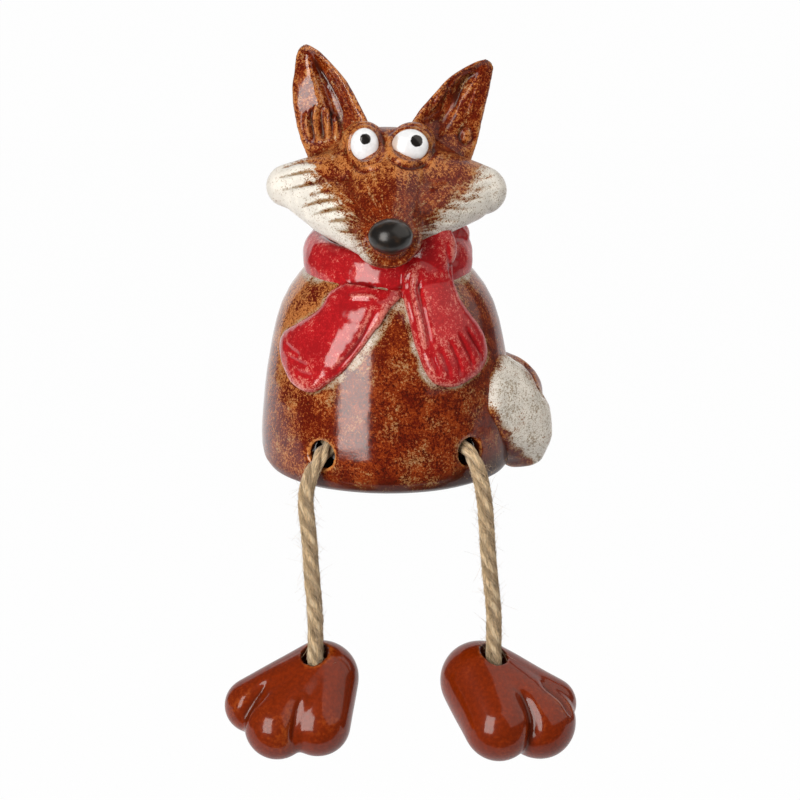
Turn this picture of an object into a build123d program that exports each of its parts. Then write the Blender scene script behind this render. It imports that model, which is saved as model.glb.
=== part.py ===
from build123d import *
import os
from math import atan2, cos, degrees, radians, sin, tan

# A glazed pottery fox that sits on a shelf edge with two cord legs hanging in front of it.
# Sizes are in millimetres and angles in degrees. The fox faces -Y, its right side is at -X,
# and the foot of its body stands on Z = 0.

# Body: a hollow turned form with an open foot.
body_radius = 38.7
waist_radius = 36.2
waist_height = 36.0
shoulder_radius = 30.4
shoulder_height = 56.2
neck_radius = 22.0
neck_height = 64.5
foot_curve = 9.0
foot_radius = body_radius - foot_curve
body_wall = 4.0
foot_opening_radius = 17.0
neck_slope = 62.0

# Head: coils of clay worked into one form on a hollow neck. Each coil lists stations from the head's
# centre: to the fox's left, backwards, up, and the coil's radius. The face is turned a little, so its sides differ.
head_rise = 26.0
neck_clearance = 0.5
neck_tube_radius = neck_radius - body_wall - neck_clearance
head_wall = 4.0
skull_width = 49.0
skull_height = 30.4
coil_waist = 0.97
skull_coil = [(-13.5, -1, 0.5, 10.8), (0, -1, 0.5, skull_height / 2), (13.5, -1, 0.5, 10.8)]
muzzle_coil = [(0, -6, 0.4, 15.0), (0, -16, -2.0, 13.6), (0, -26, -7.0, 11.0)]
muzzle_reach = 32.8
muzzle_drop = 11.7
muzzle_width = 20.4
muzzle_height = 18.6
right_cheek_coil = [(-9, -8.5, -1.5, 13.5), (-20, -8.5, -1.3, 9.6), (-30.3, -7.5, -1.0, 6.3)]
left_cheek_coil = [(9, -8.3, -1.7, 13.4), (20, -8.5, -2.1, 10.2), (28.5, -7.5, -2.5, 7.3)]
right_jaw_coil = [(-4, -27, -10.3, 9.0), (-16, -17, -5.6, 9.2), (-25, -10, -2.6, 7.0)]
left_jaw_coil = [(4, -24, -7.3, 8.6), (14, -18, -6.1, 8.7), (24, -11, -3.9, 7.6)]
brow_coil = [(-8, -9, 9.4, 7.0), (8, -9, 9.5, 6.9)]
right_socket = (-7.3, -10.4, 12.7, 6.5)
left_socket = (7.6, -10.5, 12.3, 6.6)

# Ears, eyes and nose.
right_ear_length = 34.0
left_ear_length = 31.7
ear_width = 22.0
ear_depth = 7.6
ear_cup_depth = 2.6
ear_spread = 15.0
ear_seat_rise = 8.6
ear_seat_forward = 2.2
ear_turn = 14.0
ear_back_lean = 7.5
right_ear_lean = 18.5
left_ear_lean = 28.7
eye_spacing = 14.4
eye_rise = 13.2
eye_width = 9.2
eye_height = 10.4
eye_sink = 2.2
nose_width = 13.2
nose_height = 10.8
nose_reach = 41.8
nose_drop = 9.7

# Scarf: a wrapped band and two ends that lie on the body.
scarf_height = 17.0
scarf_outer_radius = 25.6
scarf_thickness = 4.6
scarf_inner_depth = 9.0

# Tail: a brush that lies round the fox's left flank, and its tip, which stands up against the flank.
tail_ground_gap = 0.6
tail_bulge = 11.0
tail_rise = 33.0
tail_tip_rise = 38.0

# Cord legs.
cord_diameter = 4.8
cord_hole_radius = 4.3
cord_hole_height = 12.5
leg_spread = 35.5
leg_line_turn = 4.5
knot_diameter = 11.0
knot_length = 10.0
hip_knot_seat = 0.2
paw_knot_seat = 0.8
cord_drop = 59.5

# Paws: a heel, a sole and three toes. Each station is placed from the mouth of the bore: to the fox's left,
# backwards, up, and its radius.
paw_bore_radius = 4.0
paw_mouth_depth = 15.0
knot_recess_radius = 7.0
right_heel = (2.0, 4.6, -9.7, 11.2)
right_sole = (0.2, 1.2, -19.2, 10.4)
right_toes = [(1.0, -4.3, -21.4, 10.0), (-11.3, -6.3, -21.7, 9.9), (-19.0, 1.2, -17.4, 8.5)]
left_heel = (-4.1, 4.1, -13.0, 12.2)
left_sole = (-0.2, 1.4, -21.2, 10.8)
left_toes = [(1.4, -7.8, -23.3, 10.9), (13.9, -1.8, -24.6, 11.1), (17.4, 5.7, -20.9, 8.2)]

os.makedirs("parts", exist_ok=True)

RIGHT, LEFT = -1, 1
head_centre = Vector(0, 0, neck_height + head_rise)


def save(part, name):
    """Label a finished piece and write it to its own file."""
    part.label = name
    export_step(part, f"parts/{name}.step")


def first_hit(part, start, direction):
    """The first point of a solid's skin that a ray meets."""
    return part.find_intersection_points(Axis(start, direction))[0][0]


def oval(length, diameter):
    """A pebble of revolution on the origin, with its axis on Z: round-ended if long, lens-like if flat."""
    half, radius = length / 2, diameter / 2
    with BuildPart(mode=Mode.PRIVATE) as form:
        with BuildSketch(Plane.XZ):
            with BuildLine():
                if half > radius:
                    bottom = JernArc((0, -half), (1, 0), radius, 90)
                    side = Line(bottom @ 1, (radius, half - radius))
                    top = JernArc(side @ 1, side % 1, radius, 90)
                else:
                    rim = 0.9 * half**2 / radius
                    face = ((radius - rim) ** 2 + half**2 - rim**2) / (2 * (half - rim))
                    lean = degrees(atan2(radius - rim, face - half))
                    bottom = JernArc((0, -half), (1, 0), face, lean)
                    side = JernArc(bottom @ 1, bottom % 1, rim, 180 - 2 * lean)
                    top = JernArc(side @ 1, side % 1, face, lean)
                Line(top @ 1, bottom @ 0)
            make_face()
        revolve(axis=Axis.Z)
    return form.part


def coil(origin, stations, first=0):
    """A coil of clay through stations round an origin: cones, with a ball at each station from the first one on."""
    centres = [Vector(*place) + origin for *place, radius in stations]
    radii = [radius for *place, radius in stations]
    spans = [stop - start for start, stop in zip(centres, centres[1:])]
    pieces = []
    for start, span, wide, narrow in zip(centres, spans, radii, radii[1:]):
        with BuildPart(Plane(origin=start, z_dir=span), mode=Mode.PRIVATE) as cone:
            Cone(
                wide * coil_waist,
                narrow * coil_waist,
                span.length,
                align=(Align.CENTER, Align.CENTER, Align.MIN),
            )
        pieces.append(cone.part)
    for centre, span, radius in list(zip(centres, spans + spans[-1:], radii))[first:]:
        with BuildPart(Plane(origin=centre, z_dir=span), mode=Mode.PRIVATE) as ball:
            Sphere(radius)
        pieces.append(ball.part)
    return pieces


def body_form(grow):
    """The filled body, with its skin moved outwards by that much."""
    with BuildPart() as form:
        with BuildSketch(Plane.XZ):
            with BuildLine():
                foot = JernArc((foot_radius, -grow), (1, 0), foot_curve + grow, 90)
                skin = Spline(
                    foot @ 1,
                    (waist_radius + grow, waist_height),
                    (shoulder_radius + grow, shoulder_height),
                    (neck_radius + grow, neck_height),
                    tangents=[(0, 1), (-sin(radians(neck_slope)), cos(radians(neck_slope)))],
                    tangent_scalars=[0.8, 1.0],
                )
                Polyline(skin @ 1, (0, neck_height), (0, -grow), foot @ 0)
            make_face()
        revolve(axis=Axis.Z)
    return form.part


def scarf_band_form(grow):
    """The scarf's band round the neck, thickened by that much."""
    depth = scarf_inner_depth + 2 * grow
    with BuildPart() as form:
        with BuildSketch(Plane.XZ):
            with Locations((scarf_outer_radius - scarf_inner_depth / 2, neck_height)):
                RectangleRounded(depth, scarf_height + 2 * grow, 0.48 * depth)
        revolve(axis=Axis.Z)
    return form.part


def leg_angle(side):
    """The angle of a leg from the fox's front, positive towards its left."""
    return side * leg_spread + leg_line_turn


def leg_plane(side):
    """A frame at a leg's hole: X points out of the body, Y along the skin and Z up."""
    angle = radians(leg_angle(side))
    outwards = Vector(sin(angle), -cos(angle), 0)
    outside = Vector(0, 0, cord_hole_height) + outwards * 2 * body_radius
    mouth = first_hit(fox_body, outside, -outwards)
    return Plane(origin=mouth, x_dir=outwards, z_dir=(0, 0, 1))


fox_body = body_form(0)

# Body shell
with BuildPart() as body_shell:
    add(fox_body)
    add(body_form(-body_wall), mode=Mode.SUBTRACT)
    Cylinder(foot_opening_radius, 4 * body_wall, mode=Mode.SUBTRACT)
    for side in (RIGHT, LEFT):
        hole = leg_plane(side)
        with Locations(Plane(origin=hole.origin, z_dir=hole.x_dir)):
            Cylinder(cord_hole_radius, 4 * body_wall, mode=Mode.SUBTRACT)
save(body_shell.part, "body_shell")

# Head: a skull, cheeks, jaws, brow and sockets, a muzzle that tapers forwards and down, and the neck.
across_head = Plane(origin=head_centre, z_dir=(1, 0, 0))
muzzle_tip = head_centre + Vector(0, -muzzle_reach, -muzzle_drop)

head_coils = [
    skull_coil,
    muzzle_coil,
    right_cheek_coil,
    left_cheek_coil,
    right_jaw_coil,
    left_jaw_coil,
    brow_coil,
]
head_pieces = [piece for stations in head_coils for piece in coil(head_centre, stations)]

with BuildPart(Plane(origin=muzzle_tip, z_dir=(1, 0, 0)), mode=Mode.PRIVATE) as muzzle_end:
    add(oval(muzzle_width, muzzle_height))
head_pieces.append(muzzle_end.part)

for *place, radius in (right_socket, left_socket):
    with BuildPart(Plane(origin=head_centre + Vector(*place)), mode=Mode.PRIVATE) as socket:
        Sphere(radius)
    head_pieces.append(socket.part)

with BuildPart() as head_form:
    with Locations((0, 0, neck_height)):
        Cone(
            neck_tube_radius,
            neck_tube_radius * 0.62,
            head_rise,
            align=(Align.CENTER, Align.CENTER, Align.MIN),
        )
    add(head_pieces)

with BuildPart() as head_shell:
    add(head_form.part)
    with Locations(across_head):
        add(oval(skull_width - 3 * head_wall, skull_height - 3 * head_wall), mode=Mode.SUBTRACT)
    with Locations((0, 0, neck_height)):
        Cylinder(
            neck_tube_radius * 0.62 - head_wall / 2,
            head_rise,
            align=(Align.CENTER, Align.CENTER, Align.MIN),
            mode=Mode.SUBTRACT,
        )
save(head_shell.part, "head_shell")


# Ears: a tapering loft with a cup cut into its face, on the inner side.
def make_ear(side, length, lean):
    root = head_centre + Vector(side * ear_spread, -ear_seat_forward, ear_seat_rise)
    upwards = Vector(0, 0, 1).rotate(Axis.X, -ear_back_lean).rotate(Axis.Y, side * lean)
    across = Vector(1, 0, 0).rotate(Axis.Y, side * lean)
    across = across.rotate(Axis((0, 0, 0), upwards), side * ear_turn)

    def level(share):
        """A section plane that far up the ear."""
        return Plane(origin=root + upwards * share * length, x_dir=across, z_dir=upwards)

    # Each section: how far up the ear, its width, its depth and how far it lies behind the ear's face.
    ear_sections = [
        (0, 0.95, 1.15, 0),
        (0.19, 1.0, 0.95, 0.6),
        (0.375, 0.93, 1.0, 0.8),
        (0.565, 0.80, 0.96, 0.8),
        (0.74, 0.61, 0.86, 0.7),
        (0.89, 0.38, 0.52, 0.4),
        (1.0, 0.14, 0.25, 0.2),
    ]
    cup_sections = [(0.20, 0.5, 0.5), (0.375, 0.93, 1.0), (0.565, 0.80, 1.0), (0.74, 0.58, 0.8), (0.86, 0.3, 0.3)]
    with BuildPart() as ear:
        for share, width, depth, behind in ear_sections:
            with BuildSketch(level(share)):
                with Locations((0, ear_depth / 2 * behind)):
                    Ellipse(ear_width / 2 * width, ear_depth / 2 * depth)
        loft()
        for share, width, depth in cup_sections:
            with BuildSketch(level(share)):
                with Locations((-side * ear_width * 0.16 * width, -ear_depth * 0.10)):
                    Ellipse(ear_width * 0.21 * width, ear_cup_depth * depth)
        loft(mode=Mode.SUBTRACT)
        add(head_form.part, mode=Mode.SUBTRACT)
    return ear.part


save(make_ear(RIGHT, right_ear_length, right_ear_lean), "right_ear")
save(make_ear(LEFT, left_ear_length, left_ear_lean), "left_ear")


# Eyes: beads set into the brow.
def make_eye(side):
    ahead = head_centre + Vector(side * eye_spacing / 2, -3 * muzzle_reach, eye_rise)
    seat = first_hit(head_form.part, ahead, Vector(0, 1, 0))
    with BuildPart() as eye:
        with Locations(seat + Vector(0, eye_sink, 0)):
            add(oval(eye_height, eye_width))
        add(head_form.part, mode=Mode.SUBTRACT)
    return eye.part


save(make_eye(RIGHT), "right_eye")
save(make_eye(LEFT), "left_eye")

# Nose: a button on the end of the muzzle.
with BuildPart() as nose:
    with Locations(Plane(origin=head_centre - Vector(0, nose_reach, nose_drop), z_dir=(1, 0, 0))):
        add(oval(nose_width, nose_height))
    add(head_form.part, mode=Mode.SUBTRACT)
save(nose.part, "nose")

# Scarf band, seated on the shoulders and round the neck.
with BuildPart() as scarf_band:
    add(scarf_band_form(0))
    add(head_form.part, mode=Mode.SUBTRACT)
    add(fox_body, mode=Mode.SUBTRACT)
save(scarf_band.part, "scarf_band")

# Scarf ends: outlines in front view, wrapped onto the body as slabs of cloth thickness.
# Points go round each end from its top inner corner, as offsets from the neck joint.
right_end_outline = [
    (3, -3),
    (-17, -3),
    (-28, -14),
    (-32.5, -20),
    (-29, -31),
    (-22, -33),
    (-12, -24),
    (-1, -12),
]
left_end_outline = [
    (5, 13),
    (4.5, -6),
    (8, -19),
    (14, -30),
    (20, -29.5),
    (29, -24),
    (29, -18),
    (21, -3),
    (17.5, 13),
]


def make_scarf_end(outline):
    points = [(across, neck_height + up) for across, up in outline]
    with BuildPart() as scarf_end:
        with BuildSketch(Plane.XZ.offset(neck_radius / 2)):
            with BuildLine():
                Spline(*points, periodic=True)
            make_face()
        extrude(amount=2 * body_radius)
        with BuildPart(mode=Mode.PRIVATE) as cover:
            add(body_form(scarf_thickness))
            add(scarf_band_form(scarf_thickness / 2))
        add(cover.part, mode=Mode.INTERSECT)
        add(fox_body, mode=Mode.SUBTRACT)
        add(scarf_band.part, mode=Mode.SUBTRACT)
        add(head_form.part, mode=Mode.SUBTRACT)
    return scarf_end.part


save(make_scarf_end(right_end_outline), "scarf_right_end")
save(make_scarf_end(left_end_outline), "scarf_left_end")

# Tail: a loft round the flank from the fox's back, and a leaf-like tip that stands beside its left leg.
tail_half_height = (tail_rise - tail_ground_gap) / 2
# Each section: angle from the fox's left towards its back, and share of the full section.
tail_sections = [(114, 0.30), (97, 0.56), (74, 0.80), (48, 0.96), (26, 1.0), (8, 0.84)]
# Each section of the tip: share of its rise, angle, distance from the skin, half depth and half width.
tip_sections = [
    (0.09, -6, -0.5, 2.6, 3.4),
    (0.22, -6, 0.2, 7.4, 9.0),
    (0.38, -7, 0.9, 9.4, 13.0),
    (0.55, -8.5, 1.2, 9.5, 14.0),
    (0.71, -12, 0.2, 7.6, 12.0),
    (0.87, -16, -1.4, 4.4, 6.8),
    (1.0, -17, -2.4, 1.4, 2.2),
]
with BuildPart() as tail:
    for angle, size in tail_sections:
        outwards = Vector(cos(radians(angle)), sin(radians(angle)), 0)
        along = Vector(sin(radians(angle)), -cos(radians(angle)), 0)
        centre = outwards * (body_radius - 0.8) + Vector(0, 0, tail_ground_gap + tail_half_height)
        with BuildSketch(Plane(origin=centre, x_dir=outwards, z_dir=along)):
            Ellipse(tail_bulge * size, tail_half_height * size)
    loft()
    for share, angle, off_skin, half_depth, half_width in tip_sections:
        outwards = Vector(cos(radians(angle)), sin(radians(angle)), 0)
        centre = outwards * (body_radius + off_skin) + Vector(0, 0, share * tail_tip_rise)
        with BuildSketch(Plane(origin=centre, x_dir=outwards, z_dir=(0, 0, 1))):
            Ellipse(half_depth, half_width)
    loft()
    add(fox_body, mode=Mode.SUBTRACT)
save(tail.part, "tail")


# Cord legs: each route lists points beyond the hole's mouth, to the side and up from it.
right_route = [
    (-5.6, 0, 1.9),
    (0.6, -0.2, -0.4),
    (4.4, -1.2, -5.8),
    (6.0, -2.1, -12.4),
    (5.9, -0.6, -23.5),
    (6.3, 0.5, -36.5),
    (6.1, 1.7, -49.0),
    (6.2, 1.5, -62.0),
]
left_route = [
    (-5.6, 0, 1.9),
    (0.6, 0, -0.4),
    (4.4, -0.2, -5.8),
    (6.0, 0.3, -12.4),
    (6.1, 1.4, -23.5),
    (5.9, 2.6, -36.5),
    (6.3, 4.4, -49.0),
    (6.2, 4.2, -62.0),
]


def cord_points(side, route):
    """A cord's route in the fox's frame, ending straight down in its paw."""
    hole = leg_plane(side)
    points = [hole.from_local_coords(Vector(*point)) for point in route]
    end = points[-1]
    return points + [Vector(end.X + side * 0.15, end.Y, cord_hole_height - cord_drop - paw_mouth_depth)]


def cord_radii(points):
    """The largest bend that each corner's two runs allow."""
    radii = []
    for before, corner, after in zip(points, points[1:], points[2:]):
        turn = (corner - before).get_angle(after - corner)
        shorter = min((corner - before).length, (after - corner).length)
        radii.append(0.45 * shorter / tan(radians(turn) / 2))
    return radii


def make_cord(side, route, name):
    points = cord_points(side, route)
    radii = cord_radii(points)
    with BuildPart() as cord:
        with BuildLine() as line:
            FilletPolyline(*points, radius=radii)
        path = line.wires()[0]
        with BuildSketch(Plane(origin=path @ 0, z_dir=path % 0)):
            Circle(cord_diameter / 2)
        sweep(path=path)
    expected = 3.14159265 * cord_diameter**2 / 4 * path.length
    print(name, "length", round(path.length, 1), "radii", [round(r, 1) for r in radii])
    print(name, "volume share", round(cord.part.volume / expected, 4))
    save(cord.part, name)
    return points, cord.part


# Paws: a heel, a sole and three toes in one form, bored for the cord, with a recess for its knot.
def make_paw(mouth, heel, sole, toes, name):
    with BuildPart() as paw:
        add(coil(mouth, [heel, sole]) + [piece for toe in toes for piece in coil(mouth, [heel, toe], first=1)])
        ceiling = mouth.Z - paw_mouth_depth
        with Locations((mouth.X, mouth.Y, ceiling)):
            Cylinder(paw_bore_radius, 4 * paw_mouth_depth, mode=Mode.SUBTRACT)
            Cylinder(
                knot_recess_radius,
                4 * paw_mouth_depth,
                align=(Align.CENTER, Align.CENTER, Align.MAX),
                mode=Mode.SUBTRACT,
            )
    save(paw.part, name)


def make_knot(end, way, cord, seat, name):
    """A tied knot on a cord's end, with the cord's last face as its seat."""
    centre = end + way * (knot_length / 2 - seat)
    with BuildPart() as knot:
        with Locations(Plane(origin=centre, z_dir=way)):
            add(oval(knot_length, knot_diameter))
        add(cord, mode=Mode.SUBTRACT)
    save(knot.part, name)


legs = [
    (RIGHT, right_route, (right_heel, right_sole, right_toes), "right"),
    (LEFT, left_route, (left_heel, left_sole, left_toes), "left"),
]
for side, route, stations, label in legs:
    points, cord = make_cord(side, route, f"{label}_cord")
    make_knot(points[0], (points[0] - points[1]).normalized(), cord, hip_knot_seat, f"{label}_hip_knot")
    make_knot(points[-1], Vector(0, 0, -1), cord, paw_knot_seat, f"{label}_paw_knot")
    make_paw(Vector(points[-1].X, points[-1].Y, cord_hole_height - cord_drop), *stations, f"{label}_paw")
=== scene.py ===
from math import cos, pi, radians, sin

import bpy
import numpy as np
from bpy.props import FloatProperty, FloatVectorProperty, IntProperty, PointerProperty
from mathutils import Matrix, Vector
from mathutils.bvhtree import BVHTree


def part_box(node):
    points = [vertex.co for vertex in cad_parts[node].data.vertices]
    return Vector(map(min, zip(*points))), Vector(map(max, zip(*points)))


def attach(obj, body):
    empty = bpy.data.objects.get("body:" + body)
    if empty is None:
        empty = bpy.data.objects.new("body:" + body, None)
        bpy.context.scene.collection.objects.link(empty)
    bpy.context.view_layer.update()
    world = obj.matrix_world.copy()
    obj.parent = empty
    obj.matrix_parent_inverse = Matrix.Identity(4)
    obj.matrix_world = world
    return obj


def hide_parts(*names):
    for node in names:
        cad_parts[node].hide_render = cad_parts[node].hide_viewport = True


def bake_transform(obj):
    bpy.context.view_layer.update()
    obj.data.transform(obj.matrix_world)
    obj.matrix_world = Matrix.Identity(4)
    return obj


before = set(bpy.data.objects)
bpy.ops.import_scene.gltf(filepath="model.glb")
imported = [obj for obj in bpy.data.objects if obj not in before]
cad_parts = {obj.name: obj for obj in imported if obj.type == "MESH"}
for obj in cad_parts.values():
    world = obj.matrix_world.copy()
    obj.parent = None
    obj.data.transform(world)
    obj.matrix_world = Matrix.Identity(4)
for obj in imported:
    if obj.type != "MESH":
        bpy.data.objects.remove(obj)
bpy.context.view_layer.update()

bl_info = {
    "name": "Pottery Fox",
    "version": (1, 0, 0),
    "blender": (4, 5, 0),
    "location": "3D View > Sidebar > Fox",
    "description": "A glazed pottery fox in a scarf, with cord legs and loose paws",
    "category": "Object",
}

MM = 0.001
SIDES = {"right": -1, "left": 1}

# The cords' routes, in millimetres, from the knot behind the wall to the knot under the paw.
CORD_ROUTES = {
    "right": [
        (-17.007, -28.305, 14.4),
        (-20.372, -33.517, 12.1),
        (-23.186, -36.259, 6.7),
        (-24.782, -37.167, 0.1),
        (-23.445, -37.854, -11.0),
        (-22.708, -38.763, -24.0),
        (-21.576, -39.21, -36.5),
        (-21.799, -39.192, -49.5),
        (-21.949, -39.192, -62.0),
    ],
    "left": [
        (21.226, -25.296, 14.4),
        (25.211, -30.046, 12.1),
        (27.501, -33.085, 6.7),
        (28.912, -33.989, 0.1),
        (29.819, -33.359, -11.0),
        (30.61, -32.434, -24.0),
        (32.246, -31.584, -36.5),
        (32.028, -31.636, -49.5),
        (32.178, -31.636, -62.0),
    ],
}
CORD_EXITS = {"right": (-19.892, -33.105, 12.5), "left": (24.826, -29.586, 12.5)}
EXIT_WAYS = {"right": (-0.515, -0.857, 0.0), "left": (0.643, -0.766, 0.0)}

# Points along a cord. Fibres begin past those in the wall or at the meeting of its halves, and before those
# in the paw's bore.
CORD_POINTS = 272
WALL_POINTS = 34
MEETING_POINTS = 4
BORE_POINTS = 12

# The camera that took the picture, in millimetres. Picture places are on its 800 x 800 grid.
CAMERA_AIM = np.array((3.7, 0.0, 21.2))
CAMERA_RISE = radians(14.0)
CAMERA_DISTANCE = 1100.0
CAMERA_LENS = 161.2
CAMERA_SENSOR = 36.0
CAMERA_WAY = np.array((0.0, cos(CAMERA_RISE), -sin(CAMERA_RISE)))
CAMERA_UP = np.array((0.0, sin(CAMERA_RISE), cos(CAMERA_RISE)))
CAMERA_PLACE = CAMERA_AIM - CAMERA_WAY * CAMERA_DISTANCE
PICTURE = 800
FOCUS = CAMERA_LENS / CAMERA_SENSOR * PICTURE


def length_property(name, description, value, least=0.0):
    return FloatProperty(name=name, description=description, default=value, min=least, unit="LENGTH")


def count_property(name, description, value):
    return IntProperty(name=name, description=description, default=value, min=0)


def colour_property(name, description, value):
    return FloatVectorProperty(name=name, description=description, default=value, subtype="COLOR")


class FoxSizes(bpy.types.PropertyGroup):
    """Sizes that a maker would change."""

    wall: length_property("Body wall", "Thickness of the thrown body", 0.004, 0.002)
    clay_grain: length_property("Clay grain", "Spacing of the body's modelled surface", 0.0007, 0.0004)
    cord_diameter: length_property("Cord", "Diameter of the jute cord", 0.0048, 0.002)
    cord_pitch: length_property("Twist", "Length of one full turn of the cord's strands", 0.0205)
    cord_hole: length_property("Cord hole", "Radius of the holes for the cords", 0.0043)
    stray_fibres: count_property("Stray fibres", "Loose fibres that stand off each half of a cord", 150)
    lying_fibres: count_property("Lying fibres", "Fibres that lie along each half of a cord", 640)


class FoxColours(bpy.types.PropertyGroup):
    """Colours of the glazes and the cord."""

    rust: colour_property("Rust", "Brown glaze where it is thick", (0.120, 0.007, 0.0005))
    tan: colour_property("Tan", "Brown glaze where it lies even", (0.31, 0.048, 0.006))
    umber: colour_property("Umber", "Darkest brown glaze", (0.036, 0.006, 0.001))
    honey: colour_property("Honey", "Brown glaze where it runs thin", (0.58, 0.21, 0.055))
    cream: colour_property("Cream", "White slip of cheeks and tail", (0.86, 0.82, 0.75))
    red: colour_property("Red", "Scarf glaze", (0.46, 0.010, 0.014))
    pink: colour_property("Pink", "Scarf glaze where it breaks on an edge", (0.74, 0.28, 0.22))
    amber: colour_property("Amber", "Paw glaze", (0.190, 0.0185, 0.0008))
    black: colour_property("Black", "Nose and pupils", (0.012, 0.010, 0.009))
    white: colour_property("White", "Eyes", (0.81, 0.83, 0.86))
    jute: colour_property("Jute", "Cord fibre", (0.53, 0.38, 0.22))


def sizes():
    return bpy.context.scene.fox_sizes


def colours():
    return bpy.context.scene.fox_colours


def rgba(colour, gain=1.0):
    return tuple(min(channel * gain, 1.0) for channel in colour) + (1.0,)


# Modelling by hand


def deselect():
    if bpy.context.mode != "OBJECT":
        bpy.ops.object.mode_set(mode="OBJECT")
    bpy.ops.object.select_all(action="DESELECT")


def pick(*pieces):
    deselect()
    for piece in pieces:
        piece.select_set(True)
    bpy.context.view_layer.objects.active = pieces[0]


def finish_with(piece, kind, **settings):
    """Add a modifier and apply it."""
    pick(piece)
    modifier = piece.modifiers.new(kind.title(), kind)
    for name, value in settings.items():
        setattr(modifier, name, value)
    bpy.ops.object.modifier_apply(modifier=modifier.name)


def face_outwards(piece):
    """Turn a closed piece's faces outwards."""
    pick(piece)
    bpy.ops.object.mode_set(mode="EDIT")
    bpy.ops.mesh.select_all(action="SELECT")
    bpy.ops.mesh.normals_make_consistent(inside=False)
    bpy.ops.object.mode_set(mode="OBJECT")
    return piece


def shade_smooth(piece):
    pick(piece)
    bpy.ops.object.shade_smooth()
    return piece


def lump(centre, radii, turn=(0, 0, 0), segments=32):
    """A ball of clay pressed to three radii, in millimetres, and turned, in degrees."""
    deselect()
    bpy.ops.mesh.primitive_uv_sphere_add(segments=segments, ring_count=segments // 2, radius=MM)
    ball = bpy.context.object
    ball.scale = radii
    ball.rotation_euler = [radians(angle) for angle in turn]
    ball.location = [value * MM for value in centre]
    bpy.ops.object.transform_apply(location=True, rotation=True, scale=True)
    return ball


def hull(*balls):
    """One tight skin of clay round a few balls."""
    pick(*balls)
    bpy.ops.object.join()
    bpy.ops.object.mode_set(mode="EDIT")
    bpy.ops.mesh.select_all(action="SELECT")
    bpy.ops.mesh.convex_hull()
    bpy.ops.mesh.normals_make_consistent(inside=False)
    bpy.ops.object.mode_set(mode="OBJECT")
    return bpy.context.object


def coil(stations, segments=40):
    """A coil of clay that tapers between stations of (x, y, z, radius)."""
    return [
        hull(*[lump((x, y, z), (radius,) * 3, segments=segments) for x, y, z, radius in pair])
        for pair in zip(stations, stations[1:])
    ]


def turned(name, profile, segments=128):
    """A closed ring profile of (radius, height) swept round Z, extruded ring by ring."""
    deselect()
    radius, height = profile[0]
    bpy.ops.mesh.primitive_circle_add(vertices=segments, radius=radius * MM, location=(0, 0, height * MM))
    form = bpy.context.object
    form.name = name
    bpy.ops.object.transform_apply(location=True, rotation=True, scale=True)
    bpy.ops.object.mode_set(mode="EDIT")
    bpy.ops.mesh.select_all(action="SELECT")
    for next_radius, next_height in profile[1:] + profile[:1]:
        rise = (0, 0, (next_height - height) * MM)
        bpy.ops.mesh.extrude_region_move(TRANSFORM_OT_translate={"value": rise})
        share = next_radius / radius
        bpy.ops.transform.resize(value=(share, share, 1))
        radius, height = next_radius, next_height
    bpy.ops.mesh.select_all(action="SELECT")
    bpy.ops.mesh.remove_doubles(threshold=0.02 * MM)
    bpy.ops.mesh.normals_make_consistent(inside=False)
    bpy.ops.object.mode_set(mode="OBJECT")
    return form


def cut(piece, tool):
    """Take a tool's shape out of a piece, and the tool away."""
    finish_with(piece, "BOOLEAN", operation="DIFFERENCE", object=tool, solver="EXACT")
    bpy.data.objects.remove(tool, do_unlink=True)


def rod(start, way, radius, length):
    """A round tool on a start point, in millimetres, along a way."""
    deselect()
    way = Vector(way).normalized()
    middle = Vector(start) + way * length / 2
    bpy.ops.mesh.primitive_cylinder_add(vertices=40, radius=radius * MM, depth=length * MM)
    tool = bpy.context.object
    tool.rotation_euler = way.to_track_quat("Z", "Y").to_euler()
    tool.location = middle * MM
    bpy.ops.object.transform_apply(location=True, rotation=True, scale=True)
    return tool


def fuse(lumps, name, grain, smoothing):
    """Join lumps into one skin and smooth the joins."""
    pick(*lumps)
    if len(lumps) > 1:
        bpy.ops.object.join()
    piece = bpy.context.object
    piece.name = piece.data.name = name
    finish_with(piece, "REMESH", mode="VOXEL", voxel_size=grain * MM, use_smooth_shade=True)
    finish_with(piece, "SMOOTH", factor=0.5, iterations=smoothing)
    return shade_smooth(piece)


def dress(piece, material, body, slot, *nodes):
    """Give a finished piece its glaze, its body and the nodes that it stands for."""
    piece.data.materials.clear()
    piece.data.materials.append(material)
    if nodes:
        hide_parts(*nodes)
    if body:
        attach(piece, body)
    return piece


# Places in the picture


def seen(points):
    """Where points, in millimetres, show in the picture."""
    away = points - CAMERA_PLACE
    depth = away @ CAMERA_WAY
    across = PICTURE / 2 + FOCUS * away[:, 0] / depth
    down = PICTURE / 2 - FOCUS * (away @ CAMERA_UP) / depth
    return np.stack([across, down], 1)


def sight(across, down):
    """The way from the camera through a place in the picture."""
    way = CAMERA_WAY * FOCUS + np.array((across - PICTURE / 2, 0, 0)) - CAMERA_UP * (down - PICTURE / 2)
    return way / np.linalg.norm(way)


def at_depth(place, y):
    """The point behind a picture place on the upright plane at that Y, in millimetres."""
    way = sight(*place)
    return CAMERA_PLACE + way * (y - CAMERA_PLACE[1]) / way[1]


def lengths(line):
    """How far along a line each of its points lies."""
    return np.concatenate([[0], np.cumsum(np.linalg.norm(np.diff(line, axis=0), axis=1))])


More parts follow.
